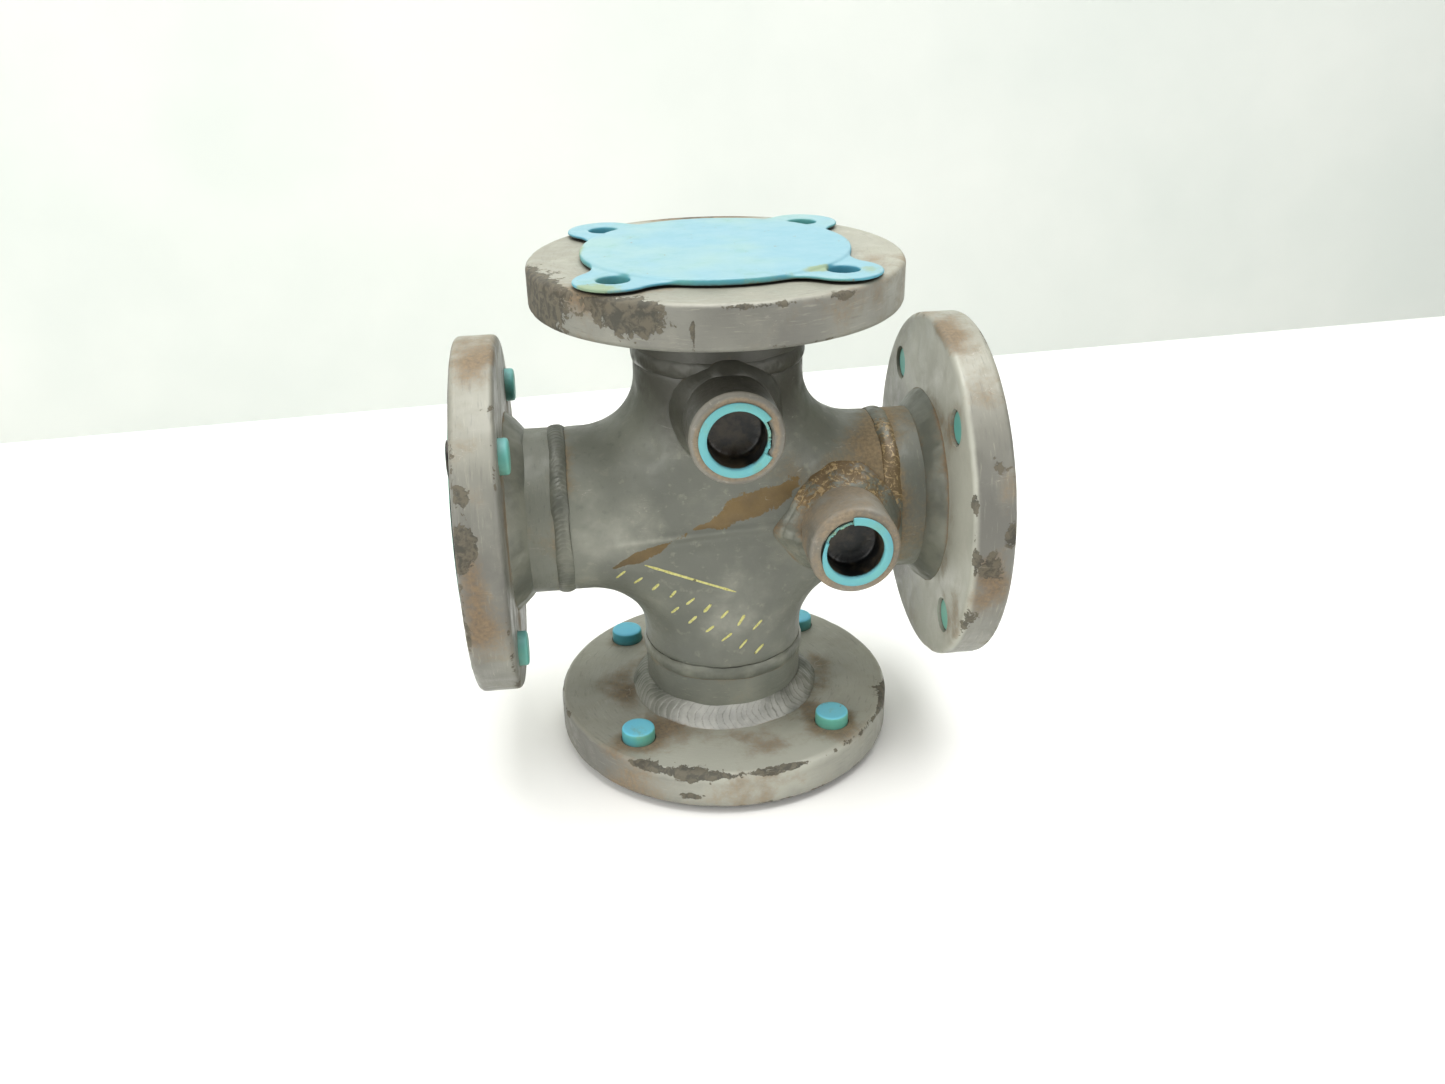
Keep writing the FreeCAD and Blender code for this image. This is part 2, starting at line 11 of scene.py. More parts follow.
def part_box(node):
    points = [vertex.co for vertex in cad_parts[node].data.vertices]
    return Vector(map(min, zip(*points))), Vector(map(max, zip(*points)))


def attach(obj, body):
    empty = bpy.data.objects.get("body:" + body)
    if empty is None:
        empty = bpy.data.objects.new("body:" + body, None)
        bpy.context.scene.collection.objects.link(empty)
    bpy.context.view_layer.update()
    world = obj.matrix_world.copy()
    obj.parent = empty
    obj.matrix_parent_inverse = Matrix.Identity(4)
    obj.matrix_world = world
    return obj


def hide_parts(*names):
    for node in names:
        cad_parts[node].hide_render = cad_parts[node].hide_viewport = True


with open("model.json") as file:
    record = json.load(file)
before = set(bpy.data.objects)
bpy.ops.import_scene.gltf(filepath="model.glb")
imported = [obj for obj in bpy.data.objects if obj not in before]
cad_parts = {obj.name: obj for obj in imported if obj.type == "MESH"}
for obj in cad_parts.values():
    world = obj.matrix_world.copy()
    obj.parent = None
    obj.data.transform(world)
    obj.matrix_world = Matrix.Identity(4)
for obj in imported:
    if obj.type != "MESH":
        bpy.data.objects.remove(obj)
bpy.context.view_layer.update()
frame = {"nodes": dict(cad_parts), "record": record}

# A worn, painted pipe cross with plastic shipping protectors.
# Lengths are in millimetres, in the row frame, until a mesh is written in metres.

MM = 0.001
BODY_OF = {node: body for body, nodes in frame["record"]["behaviour"]["bodies"].items() for node in nodes}


def span(node):
    """A CAD node's lowest and highest corners in millimetres."""
    low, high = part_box(node)
    return np.array(low) / MM, np.array(high) / MM


FITTING_LOW, FITTING_HIGH = span("cross_fitting")
CENTRE = (FITTING_LOW + FITTING_HIGH) / 2
PIPE_RADIUS = (FITTING_HIGH[1] - FITTING_LOW[1]) / 2
ARM_LENGTH = (FITTING_HIGH[0] - FITTING_LOW[0]) / 2
PIPE_WALL = 5.49
BORE_RADIUS = PIPE_RADIUS - PIPE_WALL

# Each side's own axes in the row frame. Its third axis points outwards along the arm.
SIDES = {
    "top": np.array([(1, 0, 0), (0, 1, 0), (0, 0, 1)], float),
    "right": np.array([(0, 0, -1), (0, 1, 0), (1, 0, 0)], float),
    "bottom": np.array([(-1, 0, 0), (0, 1, 0), (0, 0, -1)], float),
    "left": np.array([(0, 0, 1), (0, 1, 0), (-1, 0, 0)], float),
}
# A port's first axis is row x, its second row z, and its third points to the front.
PORT_AXES = np.array([(1, 0, 0), (0, 0, 1), (0, -1, 0)], float)


def seed_for(side, gap, first=0):
    """A different noise seed for each side."""
    return list(SIDES).index(side) * gap + first


def reach(node, side):
    """How far a node starts and ends along its arm, from the centre of the cross."""
    low, high = span(node)
    ends = [(corner - CENTRE) @ SIDES[side][2] for corner in (low, high)]
    return min(ends), max(ends)


# ---- noise and meshes


def lattice(i, j, k, seed):
    """A repeatable value from -1 to 1 at each whole-numbered place."""
    mixed = (i * 374761393 + j * 668265263 + k * 1440662683 + seed * 974634777) & 0xFFFFFFFF
    mixed = ((mixed ^ (mixed >> 13)) * 1274126177) & 0xFFFFFFFF
    return ((mixed ^ (mixed >> 16)) & 0xFFFF) / 32767.5 - 1


def noise(points, size, seed=0):
    """Smooth noise, with cells of one size, at each point."""
    place = np.asarray(points) / size
    cell = np.floor(place).astype(np.int64)
    part = place - cell
    part = part * part * (3 - 2 * part)
    total = np.zeros(place.shape[:-1])
    for corner in np.ndindex(2, 2, 2):
        weight = np.prod(np.where(corner, part, 1 - part), axis=-1)
        i, j, k = (cell[..., axis] + corner[axis] for axis in range(3))
        total += weight * lattice(i, j, k, seed)
    return total


def rough(points, size, octaves=3, seed=0):
    """Noise with finer and weaker octaves on top."""
    return sum(noise(points, size / 2**n, seed + n) / 2**n for n in range(octaves))


def grid_faces(rows, columns, wrap_columns=True):
    """Quads over a grid whose rows close on themselves."""
    here = np.arange(rows * columns).reshape(rows, columns)
    after = np.roll(here, -1, axis=0)
    quads = np.stack([here, after, np.roll(after, -1, axis=1), np.roll(here, -1, axis=1)], axis=-1)
    if not wrap_columns:
        quads = quads[:, :-1]
    return quads.reshape(-1, 4)


def placed(name, data):
    """A new object in the scene."""
    item = bpy.data.objects.new(name, data)
    bpy.context.scene.collection.objects.link(item)
    return item


def piece(name, points, faces, material, fields=None):
    """A smooth mesh from millimetre points. Fields are named values that its material reads."""
    mesh = bpy.data.meshes.new(name)
    faces = [list(map(int, face)) for face in faces]
    mesh.from_pydata((points.reshape(-1, 3) * MM).tolist(), [], faces)
    item = placed(name, mesh)
    bpy.context.view_layer.update()
    paint(item, fields or {}, points.shape[:-1])
    return dress(item, material)


def paint(item, fields, shape):
    """Store named values over a shape of points: one for each point, or one that they share."""
    for field, values in fields.items():
        vector = np.ndim(values) > len(shape)
        layer = item.data.attributes.new(field, "FLOAT_VECTOR" if vector else "FLOAT", "POINT")
        values = values if vector else np.broadcast_to(values, shape)
        layer.data.foreach_set("vector" if vector else "value", np.ravel(values).astype(np.float32))


def read(item, key="co"):
    """A mesh's points in millimetres, or its normals."""
    values = np.zeros(len(item.data.vertices) * 3, np.float32)
    item.data.vertices.foreach_get(key, values)
    return values.reshape(-1, 3) / (MM if key == "co" else 1)


def dress(item, material):
    item.data.materials.clear()
    item.data.materials.append(material)
    item.data.shade_smooth()
    return item


def stand_for(item, node):
    """Show a piece in place of a CAD node, on that node's body."""
    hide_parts(node)
    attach(item, BODY_OF[node])


def turned(name, node, points, material, fields, crisp=None):
    """A closed turned piece in place of a CAD node, with its edges past an angle kept crisp."""
    item = clean(piece(name, points, grid_faces(*points.shape[:2]), material, fields))
    if crisp:
        sharpen(item, crisp)
    stand_for(item, node)


def clean(item):
    """Join the points that meet at an axis, and face every side outwards."""
    work = bmesh.new()
    work.from_mesh(item.data)
    bmesh.ops.remove_doubles(work, verts=work.verts, dist=0.005 * MM)
    bmesh.ops.dissolve_degenerate(work, edges=work.edges, dist=0.001 * MM)
    bmesh.ops.recalc_face_normals(work, faces=work.faces)
    work.to_mesh(item.data)
    work.free()
    item.data.shade_smooth()
    return item


def sharpen(item, degrees):
    """Keep crisp edges where faces meet at more than an angle."""
    item.data.set_sharp_from_angle(angle=math.radians(degrees))


def skinned(name, node, voxel, passes):
    """A copy of a CAD node under one even skin of small faces, softened by some passes."""
    item = placed(name, frame["nodes"][node].data.copy())
    remesh = item.modifiers.new("skin", "REMESH")
    remesh.mode = "VOXEL"
    remesh.voxel_size = voxel * MM
    applied(item, remesh)
    soften = item.modifiers.new("soften", "SMOOTH")
    soften.factor = 0.5
    soften.iterations = passes
    return applied(item, soften)


def reshape(item, points):
    """Put a mesh's points at new places in millimetres."""
    item.data.vertices.foreach_set("co", (points * MM).astype(np.float32).ravel())
    item.data.update()


def applied(item, modifier):
    """The object with one modifier applied to its mesh."""
    graph = bpy.context.evaluated_depsgraph_get()
    mesh = bpy.data.meshes.new_from_object(item.evaluated_get(graph))
    item.modifiers.remove(modifier)
    old = item.data
    item.data = mesh
    bpy.data.meshes.remove(old)
    return item


ARC_POINTS = 7


def arc(centre, radius, start, end):
    """Points on an arc of a profile, from one direction in degrees to another."""
    turns = np.radians(np.linspace(start, end, ARC_POINTS))
    return [(centre[0] + radius * math.cos(turn), centre[1] + radius * math.sin(turn)) for turn in turns]


def dense(corners, step, closed=True):
    """A profile with extra points, so that none of its sides is longer than a step."""
    points = []
    for start, end in zip(corners, corners[1:] + corners[:1] * closed):
        start, end = np.array(start), np.array(end)
        count = max(1, math.ceil(np.linalg.norm(end - start) / step))
        points += [start + (end - start) * index / count for index in range(count)]
    return np.array(points if closed else points + [corners[-1]])


def angles(steps):
    """A column of even angles round a circle."""
    return np.linspace(0, 2 * math.pi, steps, endpoint=False)[:, None]


def polar(turn, radius, along):
    """Points at an angle round an axis, a radius from it and a distance along it."""
    return np.stack(np.broadcast_arrays(radius * np.cos(turn), radius * np.sin(turn), along), axis=-1)


def spun(axes, origin, radius, along):
    """Row-frame points of a turned surface. Radius and along have one row for each angle."""
    return polar(angles(len(radius)), radius, along) @ axes + origin


def swept(profile, steps):
    """A profile's radii and distances along its axis, with one row for each angle."""
    return np.tile(profile.T[:, None], (1, steps, 1))


def blotch(points, centre, half):
    """1 in the middle of a spot, falling to 0 at its edge. The centre is from the middle of the cross."""
    away = points - (CENTRE + np.array(centre, float))
    return np.clip(1 - np.linalg.norm(away / np.array(half), axis=-1), 0, 1)


def blotches(points, spots):
    """The sum of spots, each of which has a centre, half sizes and a strength."""
    return sum(strength * blotch(points, centre, half) for centre, half, strength in spots)


def near(value, target, width):
    """1 where a value is at its target, fading over a width."""
    return np.exp(-(((value - target) / width) ** 2))


# ---- materials


def tint(red, green, blue):
    """A display colour, from 0 to 255, as Blender's linear colour."""
    levels = [level / 255 for level in (red, green, blue)]
    linear = [x / 12.92 if x <= 0.04045 else ((x + 0.055) / 1.055) ** 2.4 for x in levels]
    return (*linear, 1.0)


class Graph:
    """A node material being put together. Most methods give back the socket of their result."""

    def __init__(self, name):
        self.material = bpy.data.materials.new(name)
        self.material.use_nodes = True
        self.tree = self.material.node_tree
        self.tree.nodes.clear()
        self.place = self.node("ShaderNodeTexCoord").outputs["Object"]
        self.normal = None
        self.colour = None

    def node(self, kind, inputs=None, **settings):
        item = self.tree.nodes.new(kind)
        for key, value in settings.items():
            setattr(item, key, value)
        for key, value in (inputs or {}).items():
            if isinstance(value, bpy.types.NodeSocket):
                self.tree.links.new(value, item.inputs[key])
            elif value is not None:
                item.inputs[key].default_value = value
        return item

    def math(self, operation, first, second=0.0, third=0.0):
        return self.node("ShaderNodeMath", {0: first, 1: second, 2: third}, operation=operation).outputs[0]

    def noise(self, scale, detail=4.0, roughness=0.55, warp=0.0, stretch=None, place=None):
        place = place or self.place
        if stretch:
            place = self.node("ShaderNodeMapping", {"Vector": place, "Scale": stretch}).outputs[0]
        inputs = {"Vector": place, "Scale": scale, "Detail": detail, "Roughness": roughness}
        return self.node("ShaderNodeTexNoise", inputs | {"Distortion": warp}).outputs["Fac"]

    def field(self, name):
        return self.node("ShaderNodeAttribute", attribute_name=name).outputs["Fac"]

    def vector(self, name):
        return self.node("ShaderNodeAttribute", attribute_name=name).outputs["Vector"]

    def step(self, value, low, high, top=1.0):
        """0 below low, rising smoothly to top above high."""
        inputs = {"Value": value, "From Min": low, "From Max": high, "To Max": top}
        return self.node("ShaderNodeMapRange", inputs, interpolation_type="SMOOTHSTEP").outputs[0]

    def broken(self, base, amounts, low, high, top=1.0):
        """A field whose edge is broken up by noises: amounts are (noise socket, weight) pairs."""
        for wave, weight in amounts:
            base = self.math("ADD", base, self.math("MULTIPLY_ADD", wave, weight, -weight / 2))
        return self.step(base, low, high, top)

    def mix(self, factor, first, second):
        item = self.node("ShaderNodeMix", {0: factor, 6: first, 7: second}, data_type="RGBA")
        return item.outputs[2]

    def cover(self, factor, colour):
        """Lay a colour over the colours so far."""
        self.colour = self.mix(factor, self.colour, colour)

    def blend(self, factor, first, second):
        item = self.node("ShaderNodeMix", {0: factor, 2: first, 3: second}, data_type="FLOAT")
        return item.outputs[0]

    def facing(self, axis):
        """How far the surface faces up, along row z, or along another axis."""
        normal = self.node("ShaderNodeNewGeometry").outputs["Normal"]
        return self.node("ShaderNodeSeparateXYZ", {0: normal}).outputs[axis]

    def crevice(self, distance):
        """1 in open places and lower in corners."""
        return self.node("ShaderNodeAmbientOcclusion", {"Distance": distance}, samples=8).outputs["AO"]

    def bump(self, height, depth):
        """Raise the surface by a height of 0 to 1 times a depth in millimetres."""
        inputs = {"Height": height, "Distance": depth * MM, "Strength": 1.0, "Normal": self.normal}
        self.normal = self.node("ShaderNodeBump", inputs).outputs[0]

    def finish(self, roughness, **others):
        inputs = {"Base Color": self.colour, "Roughness": roughness, "Normal": self.normal}
        inputs.update({key.replace("_", " "): value for key, value in others.items()})
        shader = self.node("ShaderNodeBsdfPrincipled", inputs)
        self.node("ShaderNodeOutputMaterial", {"Surface": shader.outputs[0]})
        return self.material


RUST = (tint(86, 70, 50), tint(134, 108, 74))
BODY_RUST = (tint(100, 82, 54), tint(152, 126, 86))
PALE_RUST = (tint(116, 102, 82), tint(152, 134, 108))
STREAKED = (tint(108, 86, 52), tint(178, 152, 106))
GOLDEN = (tint(84, 66, 30), tint(106, 84, 42))
CHIPS = (tint(64, 62, 54), tint(94, 88, 74))
# Painted light: the lighter grey laid where more light falls.
PAINTED_LIGHT_COLOUR = tint(170, 170, 157)
# Painted shade, with some soiling: the dark grey laid on the neck under the top flange.
NECK_SHADE_AND_SOOT_COLOUR = tint(58, 57, 50)
SCRATCH = tint(178, 174, 162)
# Painted shade: the dark colour laid in corners.
CORNER_SHADE = tint(56, 50, 42)


def worn_paint(name, light, dark, dusty, rust=RUST, dust=0.6, stain_base=0.1, chip_base=0.0):
    """Satin paint with mottling, dust on top faces, brown stains, chips and fine scratches, with painted
    light on some places and painted shade in corners and under the top flange.
    """
    g = Graph(name)
    broad = g.noise(9, 3)
    middle = g.noise(75, 6, 0.62, warp=0.4)
    other = g.noise(38, 5, 0.6)
    fine = g.noise(520, 5, 0.6)
    streak = g.noise(900, 4, 0.6, place=g.vector("wrap"))
    g.colour = g.mix(g.step(broad, 0.36, 0.66), dark, light)
    g.cover(g.step(other, 0.5, 0.72, 0.2), dusty)
    g.cover(g.step(g.facing("Z"), 0.35, 0.95, dust), dusty)
    g.cover(g.step(streak, 0.56, 0.7, 0.4), dark)
    g.cover(g.step(streak, 0.42, 0.3, 0.35), dusty)
    g.cover(g.step(fine, 0.6, 0.78, 0.3), dark)
    # Painted light: lighter places, and the painted highlight along the body's fold.
    g.cover(g.broken(g.field("pale"), [(other, 0.6), (middle, 0.4)], 0.1, 0.9, 0.9), PAINTED_LIGHT_COLOUR)
    # Painted shade, with some soiling, on the neck under the top flange.
    g.cover(g.broken(g.field("shade_and_soot"), [(other, 0.4), (middle, 0.4)], 0.1, 1.0, 0.9), NECK_SHADE_AND_SOOT_COLOUR)
    brown = g.mix(g.step(fine, 0.2, 0.8), *rust)
    stain_field = g.math("ADD", g.field("stain"), stain_base)
    stain = g.broken(stain_field, [(other, 1.1), (middle, 0.5), (fine, 0.35)], 0.34, 0.95, 0.75)
    g.cover(stain, brown)
    patch = g.broken(g.field("patch"), [(middle, 0.7), (other, 0.3), (fine, 0.5)], 0.46, 0.52, 0.92)
    g.cover(patch, g.mix(g.step(other, 0.35, 0.65), *GOLDEN))
    chip_field = g.math("ADD", g.field("wear"), chip_base)
    grain = g.noise(230, 4, 0.65, warp=0.5)
    chip = g.broken(chip_field, [(middle, 0.9), (other, 0.5), (grain, 1.0), (fine, 0.3)], 0.50, 0.57, 0.9)
    g.cover(chip, g.mix(g.step(grain, 0.4, 0.6), *CHIPS))
    lines = g.noise(30, 2, 0.5, warp=0.6, stretch=(1.0, 1.0, 9.0))
    scratch = g.math("COMPARE", lines, 0.5, 0.0022)
    scratch = g.math("MULTIPLY", scratch, g.step(other, 0.52, 0.6, 0.35))
    g.cover(scratch, SCRATCH)
    # Painted shade in corners.
    g.colour = g.mix(g.step(g.crevice(0.012), 0.05, 0.55), CORNER_SHADE, g.colour)
    roughness = g.blend(chip, g.blend(stain, g.step(middle, 0.2, 0.8, 0.4), 0.6), 0.7)
    g.bump(middle, 0.16)
    g.bump(streak, 0.1)
    g.bump(fine, 0.07)
    g.bump(g.math("SUBTRACT", 1.0, chip), 0.2)
    return g.finish(g.math("ADD", roughness, 0.27), Metallic=0.08)


def weld_steel(name):
    """A painted-over weld: its bright field sets how much bare metal shows through. It gets painted
    highlights on its ripples, painted shade between them and in corners, and painted shade under the top
    flange.
    """
    g = Graph(name)
    middle = g.noise(90, 5, 0.6)
    other = g.noise(40, 4)
    fine = g.noise(600, 5, 0.6)
    bright = g.field("bright")
    ripple = g.field("ripple")
    dull = g.mix(g.step(other, 0.38, 0.64), tint(97, 99, 89), tint(120, 121, 108))
    shiny = g.mix(g.step(middle, 0.35, 0.65), tint(150, 150, 144), tint(176, 175, 168))
    g.colour = g.mix(g.broken(bright, [(other, 0.6), (middle, 0.3)], 0.2, 0.8), dull, shiny)
    # Painted highlight on the ripple ridges, and painted shade in the grooves between them.
    crest_highlight = g.math("MULTIPLY", g.step(ripple, 0.6, 1.0, 0.4), g.step(other, 0.3, 0.6))
    g.cover(crest_highlight, tint(166, 164, 156))
    g.cover(g.step(ripple, 0.28, 0.02, 0.4), tint(80, 78, 68))
    # Painted shade, with some soiling, on the neck under the top flange.
    g.cover(g.broken(g.field("shade_and_soot"), [(other, 0.4), (middle, 0.4)], 0.1, 1.0, 0.9), NECK_SHADE_AND_SOOT_COLOUR)
    brown = g.mix(g.step(fine, 0.2, 0.8), *RUST)
    stain = g.broken(g.field("stain"), [(other, 0.9), (middle, 0.6), (fine, 0.4)], 0.34, 0.8, 0.8)
    g.cover(stain, brown)
    golden = g.broken(g.field("golden"), [(middle, 1.3), (fine, 0.8)], 0.4, 0.62, 0.8)
    g.cover(golden, g.mix(g.step(g.noise(240, 3, 0.7, warp=1.5), 0.5, 0.62), *STREAKED))
    # Painted shade in corners.
    g.colour = g.mix(g.step(g.crevice(0.006), 0.0, 0.5), CORNER_SHADE, g.colour)
    roughness = g.blend(stain, g.step(middle, 0.2, 0.8, 0.3), 0.5)
    g.bump(middle, 0.18)
    g.bump(fine, 0.07)
    return g.finish(g.math("ADD", roughness, 0.3), Metallic=0.2)


def moulded_plastic(name, top, side):
    """Sky-blue plastic with green tints and brown specks, painted light that makes faces turned up paler than
    the sides, and painted shade, mixed with brown soiling, in its corners and hollows.
    """
    g = Graph(name)
    broad = g.noise(16, 3, 0.5)
    middle = g.noise(60, 6, 0.65)
    fine = g.noise(420, 5, 0.6)
    # Painted light: faces turned up get the paler top colours, the sides the darker side colours.
    lit_top = g.step(g.facing("Z"), 0.3, 0.9)
    shaded_side_colour = g.mix(g.step(broad, 0.42, 0.6), *side)
    lit_top_colour = g.mix(g.step(broad, 0.42, 0.66), *top)
    g.colour = g.mix(lit_top, shaded_side_colour, lit_top_colour)
    green = g.broken(g.field("stain"), [(middle, 1.4), (fine, 0.5)], 0.5, 0.9, 0.7)
    g.cover(green, tint(132, 140, 84))
    cloud = g.math("MULTIPLY", g.step(middle, 0.55, 0.7, 0.4), g.step(broad, 0.4, 0.58))
    g.cover(cloud, tint(112, 150, 128))
    speck = g.math("MULTIPLY", g.step(g.noise(230, 3, 0.7), 0.66, 0.72, 0.8), g.step(middle, 0.48, 0.54))
    g.cover(speck, tint(128, 104, 74))
    # Painted shade in corners, mixed with patchy brown soiling.
    corner_shade_and_dirt = g.math("MULTIPLY", g.step(g.crevice(0.008), 0.8, 0.25), g.step(middle, 0.3, 0.6, 0.8))
    g.cover(corner_shade_and_dirt, tint(92, 84, 56))
    # Painted shade, mixed with brown soiling: inside the plug cups, in the cover pegs' hollows and along the
    # left cover's edge.
    shade_and_grime = g.broken(g.field("shade_and_grime"), [(middle, 0.5), (fine, 0.3)], 0.25, 0.6)
    shade_and_grime_colour = g.mix(g.step(middle, 0.42, 0.62), tint(15, 16, 16), tint(58, 50, 38))
    g.cover(shade_and_grime, shade_and_grime_colour)
    g.bump(middle, 0.12)
    g.bump(fine, 0.03)
    roughness = g.blend(shade_and_grime, g.math("ADD", g.step(middle, 0.25, 0.75, 0.2), 0.4), 0.3)
    return g.finish(roughness, Specular_IOR_Level=0.35)


def marker_paint(name):
    """Dry pale-yellow marker paint, thin enough in places to show what is under it."""
    g = Graph(name)
    wear = g.noise(700, 4, 0.7)
    gaps = g.noise(160, 3, 0.6)
    g.colour = g.mix(g.step(wear, 0.3, 0.7), tint(172, 168, 92), tint(206, 202, 136))
    shader = g.node("ShaderNodeBsdfPrincipled", {"Base Color": g.colour, "Roughness": 0.8})
    clear = g.node("ShaderNodeBsdfTransparent")
    cover = g.math("MULTIPLY", g.step(wear, 0.3, 0.4), g.step(gaps, 0.3, 0.42))
    mixed = g.node("ShaderNodeMixShader", {0: cover, 1: clear.outputs[0], 2: shader.outputs[0]})
    g.node("ShaderNodeOutputMaterial", {"Surface": mixed.outputs[0]})
    return g.material


def plain_surface(name, colour, roughness):
    """A pale studio surface with a very faint mottling."""
    g = Graph(name)
    g.colour = g.mix(g.step(g.noise(3, 4), 0.3, 0.7, 0.25), colour, tint(232, 230, 224))
    return g.finish(roughness)


BODY_COLOURS = (tint(121, 123, 111), tint(96, 98, 89), tint(140, 140, 124))
FLANGE_COLOURS = (tint(136, 136, 125), tint(100, 99, 92), tint(158, 156, 140))
COUPLING_COLOURS = (tint(126, 123, 113), tint(98, 95, 86), tint(168, 164, 152))
BODY_PAINT = worn_paint("body_paint", *BODY_COLOURS, BODY_RUST, dust=0.2, chip_base=-0.18)
FLANGE_PAINT = worn_paint("flange_paint", *FLANGE_COLOURS, stain_base=0.16)
COUPLING_PAINT = worn_paint("coupling_paint", *COUPLING_COLOURS, PALE_RUST)
WELD = weld_steel("weld_steel")
# Faded on the top cover, cleaner on the bottom one and the plugs, and greener on the side ones.
# Each plastic gets a pair of top colours and a pair of side colours: the paler top ones are painted light
# from above.
PLASTICS = {
    "top": moulded_plastic(
        "cover_plastic", (tint(122, 161, 171), tint(136, 167, 165)), (tint(70, 138, 158), tint(88, 152, 146))
    ),
    "bottom": moulded_plastic(
        "peg_plastic", (tint(98, 186, 212), tint(110, 190, 206)), (tint(66, 142, 152), tint(90, 156, 138))
    ),
    "aged": moulded_plastic(
        "aged_plastic", (tint(106, 168, 164), tint(118, 174, 158)), (tint(92, 160, 150), tint(110, 168, 150))
    ),
    "plug": moulded_plastic(
        "plug_plastic", (tint(98, 166, 182), tint(106, 170, 176)), (tint(90, 158, 174), tint(100, 166, 166))
    ),
}
MARKER = marker_paint("marker_paint")


# ---- the cross fitting

VOXEL = 1.15
# Golden scale left bare on the front: each band runs between two (x, z) points, with a half width at each
# and a strength. A weak one breaks up into flecks.
BODY_BANDS = [
    ((-18, 3.0), (-3, 8.5), 1.0, 4.4, 1.0),
    ((-3, 8.5), (13, 15.5), 4.4, 6.6, 1.0),
    ((13, 15.5), (29, 20.5), 6.6, 5.6, 1.0),
    ((-38, -6.0), (-14, 4.5), 2.6, 2.6, 0.44),
    ((-61, -16.5), (-48, -11.5), 1.2, 3.0, 1.0),
    ((-48, -11.5), (-34, -4.6), 3.0, 1.0, 1.0),
]
BODY_STAINS = [
    ((58.9, -40, 14.0), (44, 40, 40), 0.7),
    ((0.3, -40, 76.0), (34, 40, 30), 0.4),
    ((84.0, -20, 34.0), (26, 50, 32), 1.05),
    ((-84.0, -20, 34.0), (14, 60, 26), 0.5),
    ((-46.0, -40, -26.0), (40, 40, 10), 0.35),
    ((20.0, -44, 36.0), (26, 30, 14), 0.3),
]
# Painted light: lighter places on the body's low front and left arm, where more light falls.
BODY_PAINTED_LIGHT = [((0, -44, -52), (52, 40, 50), 0.45), ((-66, -40, 0), (44, 60, 44), 0.5)]
# The ends of a faint fold.
CREASE = ((-66.0, -3.2), (34.0, 2.5))


def beside(points, start, end):
    """The share of the way along a line of (x, z) points on the front, and the signed distance from it."""
    start, end = np.array(start, float), np.array(end, float)
    along = end - start
    away = (points - CENTRE)[:, [0, 2]] - start
    share = np.clip(away @ along / (along @ along), 0, 1)
    side = np.sign(away[:, 0] * along[1] - away[:, 1] * along[0])
    return share, side * np.linalg.norm(away - share[:, None] * along, axis=1)


def bare_band(points, start, end, first, last, strength):
    """Its strength in the middle of a band, half of that at its edge."""
    share, distance = beside(points, start, end)
    half = (first + (last - first) * share) * (1.05 + 0.45 * noise(points, 6, 21))
    return strength * np.clip(1 - 0.5 * np.abs(distance + 1.3 * noise(points, 9, 22)) / half, 0, 1)


def crease(points):
    """A faint fold across the front: its height, and the painted highlight along it."""
    share, distance = beside(points, *CREASE)
    fade = np.sin(math.pi * share) ** 0.5 * (points[:, 1] < -30)
    ridge = near(distance, 0, 2.4) - 0.6 * near(distance, 5.0, 3.5)
    return fade * ridge, fade * near(distance, 0, 1.6)


def neck_shade_and_soot(points):
    """Painted shade, mixed with some soiling: darkening on the neck, in the shadow of the top flange, and
    round the upper coupling's foot.
    """
    neck = 2.1 * blotch(points, (0, -40, 100), (95, 90, 66))
    return neck + 0.35 * blotch(points, (0, -46, 64), (44, 40, 44))


def cross_fitting():
    """The forged body: one dense skin over the CAD solid, softened and slightly uneven."""
    item = skinned("cross_body", "cross_fitting", VOXEL, 10)
    points = read(item)
    fold, fold_highlight = crease(points)
    lift = 0.25 * rough(points, 24, 3, 5) + 0.05 * rough(points, 4, 2, 9) + fold - 0.1
    points = points + read(item, "normal") * lift[:, None]
    front = points[:, 1] < -25
    patch = np.max([bare_band(points, *band) for band in BODY_BANDS], axis=0) * front
    ends = np.abs(points - CENTRE).max(axis=1)
    stain = blotches(points, BODY_STAINS) + 0.3 * near(ends, ARM_LENGTH, 5)
    # Painted light on the low front and left arm, and a painted highlight along the fold.
    pale = blotches(points, BODY_PAINTED_LIGHT) + 0.22 * fold_highlight
    fields = {"patch": patch, "stain": stain, "shade_and_soot": neck_shade_and_soot(points), "pale": pale, "wrap": points * MM * 0.2}
    paint(item, fields, patch.shape)
    reshape(item, points)
    stand_for(dress(item, BODY_PAINT), "cross_fitting")
    return item


# ---- pieces on each arm

STUB_STEPS = 256
RIM_STEPS = 420
WELD_STEPS = 720
SEAL_STEPS = 360
FACE_RADIUS = 63.5
FACE_HEIGHT = 1.6
RIM_ROUNDING = 3.2
FLANGE_BORE = 45.35
BOLT_CIRCLE = 76.2
HOLE_RADIUS = 19.05 / 2
HOLE_STEPS = 96
# The radius of the circle that streaky noise is wrapped round, so that streaks run round an axis.
WRAP_RADIUS = 9

